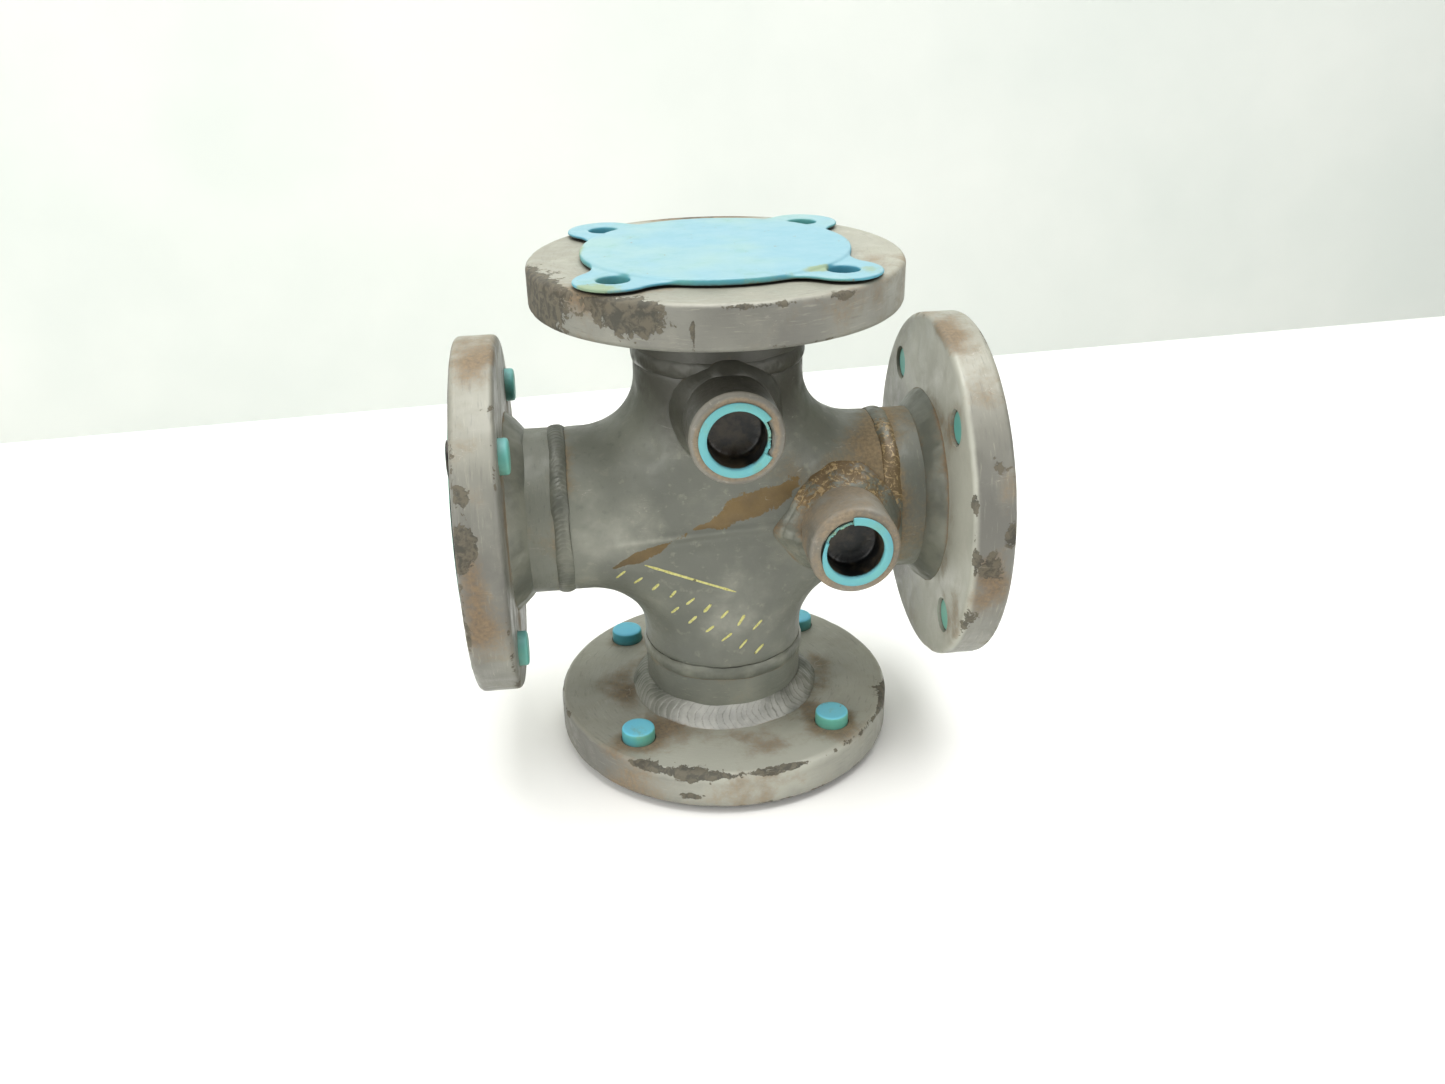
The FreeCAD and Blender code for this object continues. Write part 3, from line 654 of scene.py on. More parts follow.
# Bare or rusty spots: a centre from the middle of the cross, half sizes, and how strong they are.
FLANGE_WEAR = {
    "top": [
        ((-88, -36, 124), (26, 50, 20), 1.35),
        ((-52, -80, 128), (36, 28, 14), 1.05),
        ((-21.5, -93, 122), (1.8, 6, 9), 1.2),
        ((4, -94, 133), (40, 6, 2.6), 0.25),
        ((48, -82, 132), (14, 10, 4), 0.3),
        ((0, 92, 133), (90, 14, 6), 0.6),
    ],
    "right": [
        ((124, -94, -6), (13, 16, 20), 0.72),
        ((132, -93, 12), (6, 10, 9), 0.9),
        ((118, -88, -40), (9, 12, 18), 0.62),
        ((113, -88, 28), (4, 8, 8), 0.6),
        ((126, -84, 46), (9, 12, 10), 0.5),
    ],
    "bottom": [
        ((-29, -90, -118), (26, 14, 8), 0.8),
        ((-4, -95, -117), (50, 9, 4.5), 0.3),
        ((24, -92, -117), (28, 9, 4), 0.28),
        ((-52, -80, -117), (28, 18, 5), 0.6),
        ((-31, -91, -131), (13, 9, 5), 0.85),
        ((88, -30, -118), (12, 30, 10), 0.6),
    ],
    "left": [
        ((-130, -91, 25), (9, 12, 17), 1.05),
        ((-130, -83, 46), (5, 10, 12), 0.72),
        ((-135, -90, -4), (6, 12, 40), 0.55),
        ((-127, -88, 60), (6, 10, 9), 0.6),
        ((-120, -60, 78), (14, 30, 12), 0.35),
    ],
}
FLANGE_STAINS = {
    "top": [
        ((-60, -60, 134), (44, 34, 12), 0.65),
        ((0, 90, 134), (70, 16, 10), 1.0),
        ((70, -30, 134), (30, 40, 10), 0.4),
    ],
    "right": [
        ((118, -25, 93), (16, 50, 12), 0.8),
        ((124, -94, -10), (14, 20, 30), 0.5),
        ((113, -76, -46), (3, 16, 34), 0.6),
        ((113, -30, 48), (3, 40, 14), 0.5),
    ],
    "bottom": [
        ((-52, -58, -116), (28, 26, 6), 0.6),
        ((52, -56, -116), (28, 26, 6), 0.7),
        ((20, -70, -116), (50, 16, 6), 0.55),
        ((62, 0, -116), (24, 50, 6), 0.35),
        ((-66, -10, -116), (20, 40, 6), 0.3),
    ],
    "left": [
        ((-122, -30, 92), (18, 50, 9), 0.55),
        ((-128, -92, 8), (10, 12, 44), 0.5),
        ((-124, -88, 50), (16, 14, 18), 0.35),
        ((-128, -88, -20), (18, 24, 60), 0.45),
        ((-113, -60, 30), (3, 40, 50), 0.35),
    ],
}
# Painted light: lighter places on the flanges, where more light falls.
FLANGE_PAINTED_LIGHT = {
    "top": [],
    "right": [((113, -60, -40), (6, 100, 130), 1.5), ((113, -20, 60), (6, 100, 70), 1.4)],
    "bottom": [((0, -96, -128), (150, 60, 22), 0.8), ((0, -80, -115), (84, 40, 9), 1.2)],
    "left": [((-125, -90, -20), (30, 40, 80), 0.3)],
}


def flange_profile(back, face):
    """The section of a flange: bore, flat back, rounded rim and raised face."""
    low, high = span("flange_top")
    rim = (high[0] - low[0]) / 2
    rim_plane = face - FACE_HEIGHT
    inner = rim - RIM_ROUNDING
    corners = [(FLANGE_BORE, back)]
    corners += arc((inner, back + RIM_ROUNDING), RIM_ROUNDING, -90, 0)
    corners += arc((inner, rim_plane - RIM_ROUNDING), RIM_ROUNDING, 0, 90)
    corners += [(FACE_RADIUS, rim_plane), (FACE_RADIUS - 0.3, face), (FLANGE_BORE, face)]
    return dense(corners, 1.6), rim, rim_plane


def on_arm(side, radius, along):
    """Row-frame points of a surface turned round an arm."""
    return spun(SIDES[side], CENTRE, radius, along)


def from_centre(points, side):
    """Points in an arm's own axes."""
    return (points - CENTRE) @ SIDES[side].T


def turned_place(points, side):
    """Each point's distance from an arm's axis, and how far out along the arm it is."""
    local = from_centre(points, side)
    return np.hypot(local[..., 0], local[..., 1]), local[..., 2]


def wrapped(points, side):
    """Places for a streaky noise that runs round an arm's axis."""
    local = from_centre(points, side)
    radius = np.hypot(local[..., 0], local[..., 1])
    turn = local[..., :2] / np.maximum(radius, 1)[..., None] * WRAP_RADIUS
    return np.concatenate([turn, (local[..., 2] + radius)[..., None]], axis=-1) * MM


BOLT_TURNS = np.radians([45, 135, 225, 315])
BOLTS = [(BOLT_CIRCLE * math.cos(turn), BOLT_CIRCLE * math.sin(turn), 0) for turn in BOLT_TURNS]


def bolt_distances(points, side):
    """Each point's distance from the axis of each bolt hole of a flange."""
    local = from_centre(points, side)
    return [np.hypot(local[..., 0] - x, local[..., 1] - y) for x, y, _ in BOLTS]


def drilled(item, side, back, face):
    """Cut the bolt holes through a flange."""
    count = HOLE_STEPS
    circle = polar(angles(count), HOLE_RADIUS, 0)[:, 0]
    local = [circle + bolt + np.array([0, 0, end]) for bolt in BOLTS for end in (back - 5, face + 5)]
    steps = [(n, (n + 1) % count) for n in range(count)]
    faces = []
    for first in range(0, len(local) * count, 2 * count):
        after = first + count
        faces += [(first + n, first + m, after + m, after + n) for n, m in steps]
        faces += [tuple(range(after - 1, first - 1, -1)), tuple(range(after, after + count))]
    tool = piece("drill", np.concatenate(local) @ SIDES[side] + CENTRE, faces, FLANGE_PAINT)
    modifier = item.modifiers.new("holes", "BOOLEAN")
    modifier.operation = "DIFFERENCE"
    modifier.solver = "EXACT"
    modifier.object = tool
    applied(item, modifier)
    bpy.data.objects.remove(tool)


def flange(side):
    """A flange with a dented rim, chipped paint and four bolt holes."""
    back, face = reach(f"flange_{side}", side)
    profile, rim, rim_plane = flange_profile(back, face)
    radius, along = swept(profile, RIM_STEPS)
    points = on_arm(side, radius, along)
    seed = seed_for(side, 11)
    edge = near(radius, rim, 3.0) * (near(along, back, 3.0) + near(along, rim_plane, 3.0))
    dents = 0.45 * np.clip(rough(points, 9, 3, seed + 5) - 0.3, 0, 1) * (0.3 + edge)
    skin = 0.1 * rough(points, 30, 3, seed + 7)
    shrink = (dents + 0.1 - skin * 0.5) * near(radius, rim, 6)
    points = on_arm(side, radius - shrink, along)
    item = clean(piece(f"flange_ring_{side}", points, grid_faces(*radius.shape), FLANGE_PAINT))
    drilled(item, side, back, face)
    sharpen(dress(item, FLANGE_PAINT), 50)
    points = read(item)
    paint(item, flange_fields(points, side, back, rim, rim_plane, seed), points.shape[:1])
    stand_for(item, f"flange_{side}")


def flange_fields(points, side, back, rim, rim_plane, seed):
    """Where a flange's paint is chipped, where it is stained, and where it gets painted light."""
    radius, along = turned_place(points, side)
    corner = near(along, back + 1, 2.6) + near(along, rim_plane - 1, 2.6)
    edge = near(radius, rim, 3.5) * corner
    wear = 0.3 * edge * (1 + 0.9 * noise(points, 24, seed)) + 0.08 * near(radius, rim, 2)
    wear += blotches(points, FLANGE_WEAR[side])
    stain = 0.3 * near(radius, 58, 7) * near(along, back, 2) + 0.25 * noise(points, 30, seed + 3)
    stain += 0.2 * near(radius, rim, 3) * (1 + noise(points, 40, seed + 9))
    stain += blotches(points, FLANGE_STAINS[side])
    stain += sum(0.35 * near(distance, HOLE_RADIUS, 5) for distance in bolt_distances(points, side))
    # Painted light where more light falls on the flange.
    pale = blotches(points, FLANGE_PAINTED_LIGHT[side])
    return {"wear": wear, "stain": stain, "pale": pale, "wrap": wrapped(points, side)}


def pipe_stub(side):
    """A short length of pipe with a slightly uneven skin."""
    start, end = reach(f"pipe_stub_{side}", side)
    profile = dense([(PIPE_RADIUS, start), (PIPE_RADIUS, end), (BORE_RADIUS, end), (BORE_RADIUS, start)], 1.5)
    radius, along = swept(profile, STUB_STEPS)
    points = on_arm(side, radius, along)
    radius = radius - 0.06 * (1 + rough(points, 14, 3, 3))
    stain = 0.4 * near(along, start, 5) + 0.25 * noise(points, 25, 8) + 0.4 * (side == "right")
    points = on_arm(side, radius, along)
    fields = {"stain": stain, "shade_and_soot": neck_shade_and_soot(points), "wrap": wrapped(points, side)}
    turned(f"pipe_end_{side}", f"pipe_stub_{side}", points, BODY_PAINT, fields, 50)


# ---- welds


def crescents(turn, radius, across, points, pitch, bow, seed):
    """Overlapping crescents of a weld round a circle, from 0 in a groove to 1 on a crest."""
    length = 2 * math.pi * radius
    pitch = length / round(length / pitch)
    wander = 0.9 * noise(points, 12, seed) + 0.3 * noise(points, 4, seed + 1)
    phase = (turn * radius + 0 * across) / pitch + bow * across**2 + wander
    return (1 - phase % 1.0) ** 0.75


def rooted(values, *root):
    """The values of a weld's skin, with one more column for each point of its hidden root."""
    return np.hstack([values] + [np.full((len(values), 1), value) for value in root])


def ripple_field(ripple, columns, contrast):
    """The ripple values of a weld's skin and hidden root, flattened by a contrast. The weld material lays
    painted highlights on their ridges and painted shade between them.
    """
    return 0.5 + (rooted(ripple, *[0.5] * columns) - 0.5) * contrast


def proud(node):
    """How far a ring of weld stands out from the pipe."""
    low, high = span(node)
    return max(high - low) / 2 - PIPE_RADIUS


# How strong each butt weld's ripples are, how much golden scale and how much brown stain it has.
BUTT_LOOKS = {
    "top": (0.05, 0.0, 0.0),
    "right": (0.06, 1.0, 0.4),
    "bottom": (0.06, 0.0, 0.1),
    "left": (0.24, 0.0, 0.05),
}


def butt_weld(side):
    """A low, uneven cap over the joint between an arm and its stub."""
    ripples, gold, brown = BUTT_LOOKS[side]
    start, end = reach(f"butt_weld_{side}", side)
    middle = (start + end) / 2
    crown = proud(f"butt_weld_{side}")
    seed = seed_for(side, 7, 100)
    turn = angles(WELD_STEPS)
    across = np.linspace(-1, 1, 27)[None, :]
    guide = on_arm(side, PIPE_RADIUS + 0 * turn * across, middle + 0 * turn * across)
    half = (end - start) / 2 * (0.9 + 0.12 * noise(guide, 9, seed) + 0.04 * noise(guide, 3, seed + 5))
    shift = 0.6 * noise(guide, 15, seed + 1)
    along = middle + shift + half * across
    points = on_arm(side, PIPE_RADIUS + 0 * along, along)
    ripple = crescents(turn, PIPE_RADIUS, across, points, 2.7, 0.9, seed + 2)
    dome = 1 - np.abs(across) ** 2.4
    lumps = 0.6 + 0.18 * noise(guide, 9, seed + 3) + 0.14 * noise(points, 3.5, seed + 6)
    height = crown * dome * (lumps + 0.15 + ripples * (ripple - 0.5)) - 0.25
    undercut = 0.35 * near(across, 0.93, 0.1) * (side == "bottom")
    radius = PIPE_RADIUS + np.minimum(height - undercut, crown)
    outer, inner = PIPE_RADIUS - 1.5, BORE_RADIUS - 0.6
    root = np.array([(outer, 3.0), (inner, 2.2), (inner, -2.2), (outer, -3.0)])
    radius = rooted(radius, *root[:, 0])
    along = rooted(along, *(middle + root[:, 1]))
    points = on_arm(side, radius, along)
    low_toe = 0.9 * near(across, 0.85, 0.12) * (side == "bottom")
    toe = rooted(0.15 * np.abs(across) ** 9 + low_toe, *[0] * len(root))
    fields = {
        "ripple": ripple_field(ripple, len(root), 2.5 * ripples),
        "stain": toe + brown + 0.2 * noise(points, 20, seed + 4),
        "golden": gold * blotch(points, (90, -40, 30), (40, 60, 44)),
        "bright": 0.1,
        "shade_and_soot": neck_shade_and_soot(points),
    }
    turned(f"butt_bead_{side}", f"butt_weld_{side}", points, WELD, fields)


# How strong each flange weld's ripples are, how bright it is and how stained.
FILLET_LOOKS = {
    "top": (0.05, 0.0, 0.0),
    "right": (0.03, 0.15, 0.25),
    "bottom": (0.34, 0.75, 0.02),
    "left": (0.04, 0.0, 0.1),
}


def back_weld(side):
    """The heavy fillet behind a flange, laid as overlapping crescents."""
    ripples, bright, brown = FILLET_LOOKS[side]
    start, end = reach(f"flange_weld_{side}", side)
    rise = proud(f"flange_weld_{side}")
    seed = seed_for(side, 13, 200)
    turn = angles(WELD_STEPS)
    share = np.linspace(0, 1, 33)[None, :]
    guide = on_arm(side, PIPE_RADIUS + 0 * turn * share, end + 0 * turn * share)
    leg = rise * (0.92 + 0.1 * noise(guide, 15, seed) + 0.04 * noise(guide, 4, seed + 5))
    run = (end - start) * (0.93 + 0.08 * noise(guide, 12, seed + 1))
    radius = PIPE_RADIUS - 0.3 + (leg + 0.3) * share
    along = end + 0.3 - run * (1 - share)
    points = on_arm(side, radius, along)
    across = 2 * share - 1
    ripple = crescents(turn, PIPE_RADIUS + rise / 2, across, points, 3.9, 1.0, seed + 2)
    humps = np.abs(np.sin(math.pi * share)) ** 0.5
    swell = humps * (0.85 + 0.45 * noise(points, 10, seed + 3) + 0.15 * noise(points, 3.5, seed + 6))
    swell = swell + ripples * (ripple - 0.5) * humps - 0.15
    if side == "bottom":
        stop = near(np.degrees(turn), 203, 9) + 0.7 * near(np.degrees(turn), 184, 7)
        swell = swell + 2.2 * stop * np.sin(math.pi * share) ** 0.7
    direction = np.array([run.mean(), -leg.mean()]) / math.hypot(run.mean(), leg.mean())
    radius = rooted(radius + swell * direction[0], PIPE_RADIUS - 1.5)
    along = rooted(along + swell * direction[1], end + 1.0)
    points = on_arm(side, radius, along)
    toe = rooted(0.7 * share**12 + 0.25 * (1 - share) ** 8, 0)
    front = near(np.degrees(turn), 270, 48) if side == "bottom" else 0.6
    fields = {
        "ripple": ripple_field(ripple, 1, 2 * ripples**0.5),
        "stain": toe + brown + 0.2 * noise(points, 22, seed + 4),
        "bright": bright * (0.35 + 0.65 * front),
        "shade_and_soot": neck_shade_and_soot(points),
    }
    turned(f"back_fillet_{side}", f"flange_weld_{side}", points, WELD, fields)


def seal_weld(side):
    """The small fillet inside a flange's bore."""
    start, end = reach(f"seal_weld_{side}", side)
    leg = end - start
    seed = seed_for(side, 17, 300)
    turn = angles(SEAL_STEPS)
    share = np.linspace(0, 1, 13)[None, :]
    radius = FLANGE_BORE + 0.2 - leg * share + 0 * turn
    along = start + leg * (1 - share) + 0 * turn
    points = on_arm(side, radius, along)
    ripple = crescents(turn, FLANGE_BORE, 2 * share - 1, points, 2.4, 0.8, seed)
    swell = np.sin(math.pi * share) ** 0.6 * (0.35 + 0.3 * ripple) - 0.2
    radius = rooted(radius - swell * 0.7, FLANGE_BORE + 0.4)
    along = rooted(along + swell * 0.7, start - 0.6)
    points = on_arm(side, radius, along)
    fields = {"ripple": rooted(ripple, 0), "stain": 0.2 + 0.2 * noise(points, 9, seed + 1), "bright": 0.5}
    turned(f"bore_fillet_{side}", f"seal_weld_{side}", points, WELD, fields)


# ---- ports

PORTS = ("upper", "side")
COUPLING_STEPS = 360
THREAD_PITCH = 2.21
THREAD_DEPTH = 0.9
THREAD_MOUTH = 33.4 / 2
THREAD_FOOT = 31.6 / 2


def port_place(port):
    """A coupling's face centre in the row frame, its outer radius and its length."""
    low, high = span(f"half_coupling_{port}")
    centre = (low + high) / 2
    return np.array([centre[0], low[1], centre[2]]), (high[0] - low[0]) / 2, high[1] - low[1]


def half_coupling(port):
    """A bar-stock half coupling with soft edges and a tapered thread in its bore."""
    face, radius, length = port_place(port)
    corners = [(THREAD_FOOT, -length), (radius, -length)]
    corners += arc((radius - 2.2, -2.2), 2.2, 0, 90)
    corners += [(THREAD_MOUTH + 1.2, 0.0), (THREAD_MOUTH + 0.4, -0.9)]
    outside = dense(corners, 1.0, closed=False)
    depth = np.linspace(-1.2, -length, 130)
    bore = np.stack([THREAD_MOUTH + (THREAD_FOOT - THREAD_MOUTH) * (depth / -length), depth], axis=1)
    profile = np.vstack([outside, bore])
    turn = angles(COUPLING_STEPS)
    radii, along = swept(profile, COUPLING_STEPS)
    threaded = np.arange(len(profile)) >= len(outside)
    wave = np.abs(((along / THREAD_PITCH - turn / (2 * math.pi)) % 1.0) * 2 - 1)
    radii = radii + THREAD_DEPTH * wave * threaded * (along < -1.5) * (along > 1 - length)
    points = spun(PORT_AXES, face, radii, along)
    skin = 0.15 * rough(points, 12, 3, 40) * ~threaded
    radii = radii - np.clip(skin + 0.08, 0, 1) * (along < -0.5) * ~threaded
    points = spun(PORT_AXES, face, radii, along)
    rough_rim = 0.3 * noise(points, 9, 41)
    annulus = near(radii, 19.6, 2.2) * (along > -2)
    if port == "upper":
        stain = 0.95 * annulus + rough_rim * annulus - 0.1
    else:
        stain = 0.5 + rough_rim + 0.3 * near(along, -length, 12) + 0.1 * annulus
    wear = 0.25 * near(along, -1, 1.4) * near(radii, radius - 0.6, 1.2) + 0.5 * threaded
    wrap = polar(turn, WRAP_RADIUS, radii + along) * MM
    # Painted shade on the coupling's wall under the top flange, kept off its face.
    fields = {"stain": stain, "wear": wear, "shade_and_soot": neck_shade_and_soot(points) * (along < -3), "wrap": wrap}
    turned(f"coupling_{port}", f"half_coupling_{port}", points, COUPLING_PAINT, fields, 40)


def skin_finder(body):
    """A function that gives the row y of the cross's front surface at x and z."""
    graph = bpy.context.evaluated_depsgraph_get()
    tree = BVHTree.FromObject(body, graph)

    def find(x, z, port):
        """The front of the fitting, or of the pipe that carries on past its end."""
        level = z - CENTRE[2] if port == "side" else x - CENTRE[0]
        pipe = -math.sqrt(max(PIPE_RADIUS**2 - level**2, 0))
        hit = tree.ray_cast(Vector((x, -200, z)) * MM, Vector((0, 1, 0)))[0]
        return pipe if hit is None else min(pipe, hit.y / MM)

    return find


# The leg of each saddle weld, its layers, its rust, how strong its ripples are and how lumpy it is.
SADDLE_LOOKS = {"upper": (6.0, 1, 0.05, 0.06, 0.3), "side": (9.0, 3, 0.5, 0.16, 1.0)}


def saddle_weld(port, find):
    """The bead round a coupling's foot, which follows the curve of the pipe."""
    face, radius, length = port_place(port)
    leg, layers, rust, ripples, lumps = SADDLE_LOOKS[port]
    foot = face[1] + length
    seed = {"upper": 400, "side": 450}[port]
    turn = angles(WELD_STEPS // 2)
    guide = polar(turn, radius, 0)
    width = leg * (0.86 + 0.16 * noise(guide, 10, seed) + 0.06 * noise(guide, 4, seed + 5))
    if port == "side":
        width = width + 4.5 * near(np.degrees(turn), 182, 13)

    def front(distance):
        """The pipe's front at a distance from the port's axis, for each angle."""
        x = face[0] + distance * np.cos(turn)
        z = face[2] + distance * np.sin(turn)
        return np.array([[find(*place, port)] for place in zip(x[:, 0], z[:, 0])])

    toe_y = front(radius + width) + 0.4
    wall_y = np.minimum(front(radius) - width, foot - 2.0)
    inner_y = front(radius - 2) + 2.5
    share = np.linspace(0, 1, 25)[None, :]
    mid_radius = radius + 0.5 * width
    mid_y = 0.42 * wall_y + 0.58 * toe_y - 0.14 * width
    start, end = (1 - share) ** 2, share**2
    bend = 2 * share * (1 - share)
    radii = (radius - 0.3) * start + mid_radius * bend + (radius + width) * end
    level = wall_y * start + mid_y * bend + toe_y * end
    origin = [face[0], 0, face[2]]
    points = spun(PORT_AXES, origin, radii, -level)
    ripple = crescents(turn, radius + leg / 2, 2 * share - 1, points, 3.2, 0.9, seed + 1)
    humps = 0.4 + 0.6 * np.abs(np.sin(math.pi * layers * share)) ** 0.6
    humps = humps * np.sin(math.pi * share) ** 0.4
    uneven = 0.6 * noise(points, 8, seed + 2) + 0.25 * noise(points, 3.5, seed + 6)
    swell = humps * (0.6 + lumps * uneven)
    swell = swell + humps * ripples * (ripple - 0.5)
    inner = radius - 2 + 0 * width
    radii = np.hstack([radii + 0.7 * swell, radius + 0.6 * width, inner, inner])
    level = np.hstack([level - 0.7 * swell, toe_y + 2.5, inner_y, wall_y + 1.0])
    points = spun(PORT_AXES, origin, radii, -level)
    stain = rooted(rust + 0.3 * share**8, 0, 0, 0) + 0.35 * noise(points, 9, seed + 3)
    fields = {
        "ripple": ripple_field(ripple, 3, 2 * ripples),
        "stain": stain,
        "golden": 0.6 * (rust > 0.3) * np.clip(points[..., 2] - face[2], 0, 20) / 20,
        "bright": 0.15,
        "shade_and_soot": neck_shade_and_soot(points),
    }
    turned(f"saddle_bead_{port}", f"coupling_weld_{port}", points, WELD, fields)


PLUG_STEPS = 720
PLUG_RADIUS = 32.2 / 2
PLUG_TIP = 30.6 / 2
PLUG_WALL = 1.2
PLUG_DEPTH = 16.0
HEAD_BOTTOM = 0.1
HEAD_TOP = 1.4


def head_reach(port, degrees, head):
    """The plug head's outer radius at each angle: whole, torn off, or torn to a thin crescent."""
    if port == "upper":
        torn = (degrees < 33 + 2.0 * np.sin(degrees * 0.7)) | (degrees > 330)
        return np.where(torn, PLUG_RADIUS, head)
    gone = (degrees > 95) & (degrees < 158)
    sliver = np.clip((degrees - 158) / 60, 0, 1)
    thin = PLUG_RADIUS + 0.3 + (head - PLUG_RADIUS - 0.3) * sliver**1.6
    edge = np.where((degrees >= 158) & (degrees < 218), thin, head)
    return np.where(gone, PLUG_RADIUS, edge)


def thread_plug(port):
    """A push-in cup with a thin head ring, partly torn off."""
    face, _, _ = port_place(port)
    low, high = span(f"thread_plug_{port}")
    head = (high[2] - low[2]) / 2
    turn = angles(PLUG_STEPS)
    degrees = np.degrees(turn)
    rim = head_reach(port, degrees, head)
    torn = rim < PLUG_RADIUS + 0.1
    ragged = 0.9 * rough(np.hstack([degrees, degrees * 0, degrees * 0]), 7, 3, 60)[:, None]
    lip = np.where(torn, -0.2 + ragged, HEAD_TOP)
    under = np.where(torn, lip - 0.7, HEAD_BOTTOM)
    inner = PLUG_RADIUS - PLUG_WALL - 0.1 * torn
    soft = 0.3
    floor = PLUG_WALL - PLUG_DEPTH
    section = [
        (0.0, -PLUG_DEPTH), (PLUG_TIP * 0.5, -PLUG_DEPTH), (PLUG_TIP - 0.8, -PLUG_DEPTH),
        (PLUG_TIP, -PLUG_DEPTH + 0.8), ((PLUG_TIP + PLUG_RADIUS) / 2, -PLUG_DEPTH / 2),
        (PLUG_RADIUS, under), (np.maximum(rim - soft, PLUG_RADIUS), under), (rim, under + soft),
        (rim, lip - soft), (np.maximum(rim - soft, PLUG_RADIUS - 0.3), lip),
        (np.minimum(inner + 1.2, rim - 0.4), lip + 0.02), (inner + soft, lip), (inner, lip - soft),
        (inner - 0.3, -PLUG_DEPTH * 0.3), (inner - 0.5, -PLUG_DEPTH * 0.65),
        (PLUG_TIP - PLUG_WALL, floor + 1.2), (PLUG_TIP - PLUG_WALL - 1.2, floor),
        (PLUG_TIP * 0.5, floor), (0.0, floor),
    ]
    radii, along = (np.hstack([np.broadcast_to(pair[n], turn.shape) for pair in section]) for n in (0, 1))
    points = spun(PORT_AXES, face, radii, along)
    column = np.arange(len(section))
    # Painted shade, with some soiling, inside the cup.
    shade_and_grime = 1.0 * (column >= 13) + 0.12 * (column == 12)
    stain = 0.1 + (0.6 * near(degrees, 155, 40) if port == "upper" else 0.1) + 0.5 * torn
    faces = grid_faces(*radii.shape, wrap_columns=False)
    item = piece(f"plug_{port}", points, faces, PLASTICS["plug"], {"shade_and_grime": shade_and_grime, "stain": stain})
    sharpen(clean(item), 45)
    stand_for(item, f"thread_plug_{port}")


# ---- marker strokes

# Each row of ticks: its first and last (x, z) places and how many ticks it has.
TICK_ROWS = [((-58.0, -22.5), (14.0, -57.5), 9), ((-30.0, -47.0), (15.0, -73.5), 6)]
STROKE_GAP = 0.08


def ribbon(name, path, width, find):
    """A thin painted stroke that lies on the body's front along a path of (x, z) points."""
    path = np.array(path, float)
    steps = np.linalg.norm(np.diff(path, axis=0), axis=1)
    place = np.concatenate([[0], np.cumsum(steps)])
    count = max(8, int(place[-1] / 0.8))
    marks = np.linspace(0, place[-1], count)
    x = np.interp(marks, place, path[:, 0])
    z = np.interp(marks, place, path[:, 1])
    ahead = np.stack([np.gradient(x), np.gradient(z)], axis=1)
    ahead /= np.linalg.norm(ahead, axis=1)[:, None]
    end = np.sqrt(np.clip(1 - (2 * marks / place[-1] - 1) ** 8, 0.05, 1))
    breadth = width * end * (1 + 0.2 * noise(np.stack([x, z, 0 * x], axis=1), 3, 70))
    rings = []
    for offset, lift in ((-0.5, -0.25), (-0.36, 1.0), (0.0, 1.3), (0.36, 1.0), (0.5, -0.25)):
        px = x - ahead[:, 1] * breadth * offset
        pz = z + ahead[:, 0] * breadth * offset
        y = np.array([find(CENTRE[0] + a, CENTRE[2] + b, "upper") for a, b in zip(px, pz)])
        rings.append(np.stack([px + CENTRE[0], y - STROKE_GAP * lift, pz + CENTRE[2]], axis=1))
    under = (rings[0] + rings[-1]) / 2 + np.array([0, 0.4, 0])
    points = np.stack(rings + [under], axis=1)
    sides = points.shape[1]
    faces = []
    for row in range(0, (count - 1) * sides, sides):
        for side in range(sides):
            after = (side + 1) % sides
            faces.append((row + side, row + after, row + sides + after, row + sides + side))
    faces += [tuple(range(sides)), tuple(range((count - 1) * sides, count * sides))[::-1]]
    item = clean(piece(name, points, faces, MARKER))
    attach(item, BODY_OF["cross_fitting"])


def marker_strokes(find):
    """A long underline and two rows of plain slanting ticks."""
    ribbon("marker_underline", [(-45.5, -16.0), (-22, -25.5), (2.5, -35.5)], 1.5, find)
    chance = np.random.default_rng(12)
    for row, (start, end, count) in enumerate(TICK_ROWS):
        start, end = np.array(start), np.array(end)
        slope = math.atan2(*(end - start)[::-1])
        for index in range(count):
            middle = start + (end - start) * index / (count - 1)
            lean = slope + math.radians(90 + chance.uniform(-20, -4))
            arrow = chance.uniform(3.0, 3.8) * np.array([math.cos(lean), math.sin(lean)])
            name = f"marker_tick_{row}_{index}"
            ribbon(name, [middle - arrow, middle + arrow], chance.uniform(1.3, 1.7), find)


# ---- protectors

COVER_VOXEL = 0.62
# Yellow-green dirt: a centre from the middle of the cross, half sizes, and how strong it is.
COVER_STAINS = {
    "top": [
        ((-66, -70, 138), (24, 12, 8), 1.0),
        ((42, -54, 138), (16, 10, 8), 0.9),
        ((-68, 6, 138), (8, 26, 8), 0.6),
        ((66, -60, 138), (20, 18, 8), 0.35),
    ],
    "right": [((108, -54, 54), (12, 14, 14), 0.3)],
    "bottom": [((54, -54, -108), (10, 10, 14), 0.7), ((-54, -54, -112), (12, 12, 9), 0.6)],
    "left": [((-106, -54, 0), (14, 20, 80), 0.45)],
}


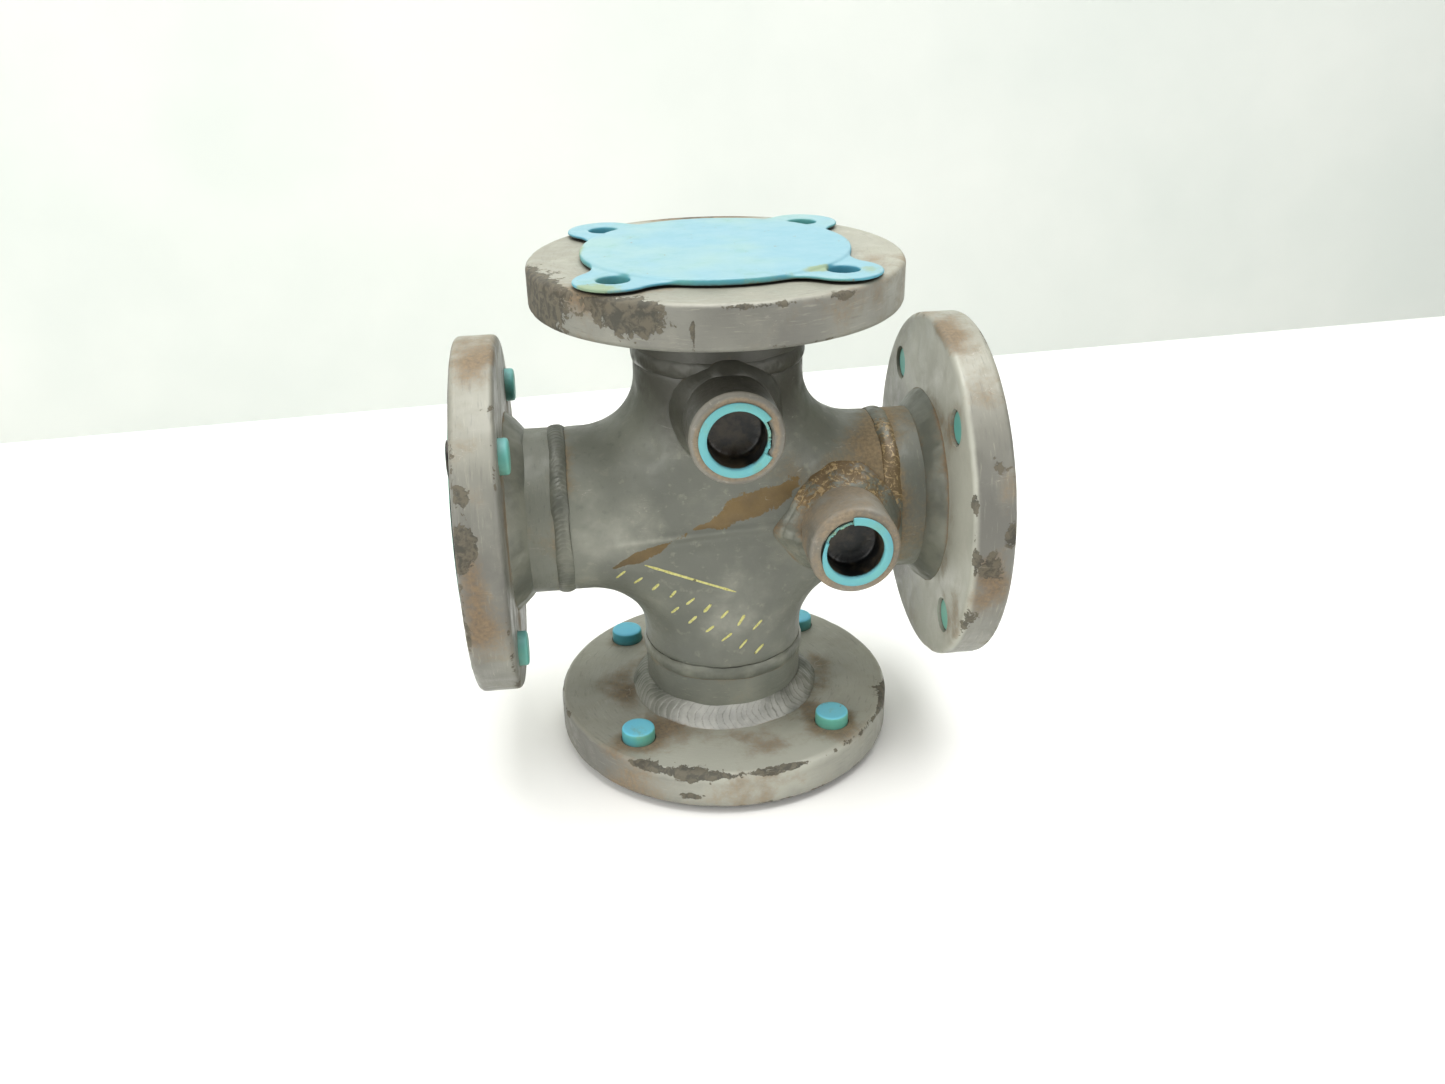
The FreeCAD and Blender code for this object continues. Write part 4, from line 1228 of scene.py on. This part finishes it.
def flange_cover(side):
    """A moulded cover. The top one is shown whole, so it gets a slightly warped sheet."""
    item = skinned(f"protector_{side}", f"flange_cover_{side}", COVER_VOXEL, 3)
    points = read(item)
    radius, along = turned_place(points, side)
    _, face = reach(f"flange_{side}", side)
    seed = seed_for(side, 19, 500)
    most = 0.25 if side == "top" else 0
    warp = most * noise(points, 38, seed) * np.clip((along - face + 2) / 2, 0, 1)
    points = points + warp[:, None] * SIDES[side][2]
    reshape(item, points)
    ears = np.clip((radius - 70) / 14, 0, 1)
    stain = 0.3 * ears + 0.35 * near(radius, 68, 2.5) + 0.2 * noise(points, 18, seed + 1)
    stain += blotches(points, COVER_STAINS[side])
    # Painted shade, with some soiling, in the pegs' hollows.
    hollow = (np.min(bolt_distances(points, side), axis=0) < 8.3) & (along > along.min() + 1.0)
    shade_and_grime = 0.28 * hollow * np.clip((face - along) / 8, 0, 1)
    # Painted shade on the left cover's edges, seen edge-on.
    if side == "left":
        edge_on = np.clip(3.1 - 3 * np.abs(read(item, "normal") @ SIDES[side][2]), 0, 1)
        shade_and_grime += 0.75 * edge_on * (radius > 64) * (along > face - 1.5)
    paint(item, {"stain": stain, "shade_and_grime": shade_and_grime}, stain.shape)
    stand_for(dress(item, PLASTICS.get(side, PLASTICS["aged"])), f"flange_cover_{side}")


# ---- studio

# The camera fitted to the photo: its eye from the middle of the cross, and its turns in radians.
EYE = np.array([-72.564, -614.989, 277.986])
YAW = 0.118879
PITCH = 0.457963
ROLL = -0.018675
LENS = 30.66
SENSOR = 36.0


def camera():
    ahead = np.array([math.sin(YAW) * math.cos(PITCH), math.cos(YAW) * math.cos(PITCH), -math.sin(PITCH)])
    level = np.array([math.cos(YAW), -math.sin(YAW), 0])
    up = np.cross(level, ahead)
    right = level * math.cos(ROLL) + up * math.sin(ROLL)
    above = up * math.cos(ROLL) - level * math.sin(ROLL)
    data = bpy.data.cameras.new("camera")
    data.lens = LENS
    data.sensor_width = SENSOR
    data.clip_start = 0.01
    item = placed("camera", data)
    place = (CENTRE + EYE) * MM
    item.matrix_world = Matrix(
        [[right[n], above[n], -ahead[n], place[n]] for n in range(3)] + [[0, 0, 0, 1]]
    )
    bpy.context.scene.camera = item


def area_light(name, place, target, size, power, colour=(1, 1, 1)):
    data = bpy.data.lights.new(name, "AREA")
    data.shape = "DISK"
    data.size = size
    data.energy = power
    data.color = colour
    item = placed(name, data)
    aim = Vector(target) - Vector(place)
    item.matrix_world = Matrix.Translation(place) @ aim.to_track_quat("-Z", "Y").to_matrix().to_4x4()


def sheet(name, corners, material):
    mesh = bpy.data.meshes.new(name)
    mesh.from_pydata(corners, [], [(0, 1, 2, 3)])
    item = placed(name, mesh)
    item.data.materials.append(material)


def studio():
    floor = plain_surface("studio_floor", tint(251, 250, 246), 0.5)
    wall = plain_surface("studio_wall", tint(198, 203, 197), 0.8)
    sheet("floor", [(-4, -4, 0), (4, -4, 0), (4, 4, 0), (-4, 4, 0)], floor)
    left, right = Vector((-4, 0.235, 0)), Vector((4, 0.98, 0))
    rise = Vector((0, 0, 3))
    sheet("wall", [left, right, right + rise, left + rise], wall)
    world = bpy.data.worlds.new("studio")
    bpy.context.scene.world = world
    world.use_nodes = True
    background = world.node_tree.nodes["Background"]
    background.inputs["Color"].default_value = (0.93, 0.96, 1.0, 1)
    background.inputs["Strength"].default_value = 0.36
    middle = tuple(CENTRE * MM)
    area_light("key", (-1.4, -0.8, 0.8), middle, 1.8, 20, (1.0, 0.99, 0.965))
    area_light("top", (0.1, 0.1, 1.6), middle, 1.6, 34, (0.98, 0.985, 1.0))
    area_light("right", (1.2, -1.1, 0.6), middle, 1.2, 9, (1.0, 0.98, 0.95))
    area_light("fill", (-0.8, -1.2, 0.3), middle, 1.0, 3, (1.0, 1.0, 0.98))
    bpy.context.scene.view_settings.view_transform = "Standard"


# ---- the whole object


def build():
    body = cross_fitting()
    find = skin_finder(body)
    for side in SIDES:
        pipe_stub(side)
        flange(side)
        butt_weld(side)
        back_weld(side)
        seal_weld(side)
        flange_cover(side)
    for port in PORTS:
        half_coupling(port)
        saddle_weld(port, find)
        thread_plug(port)
    marker_strokes(find)


build()
studio()
camera()
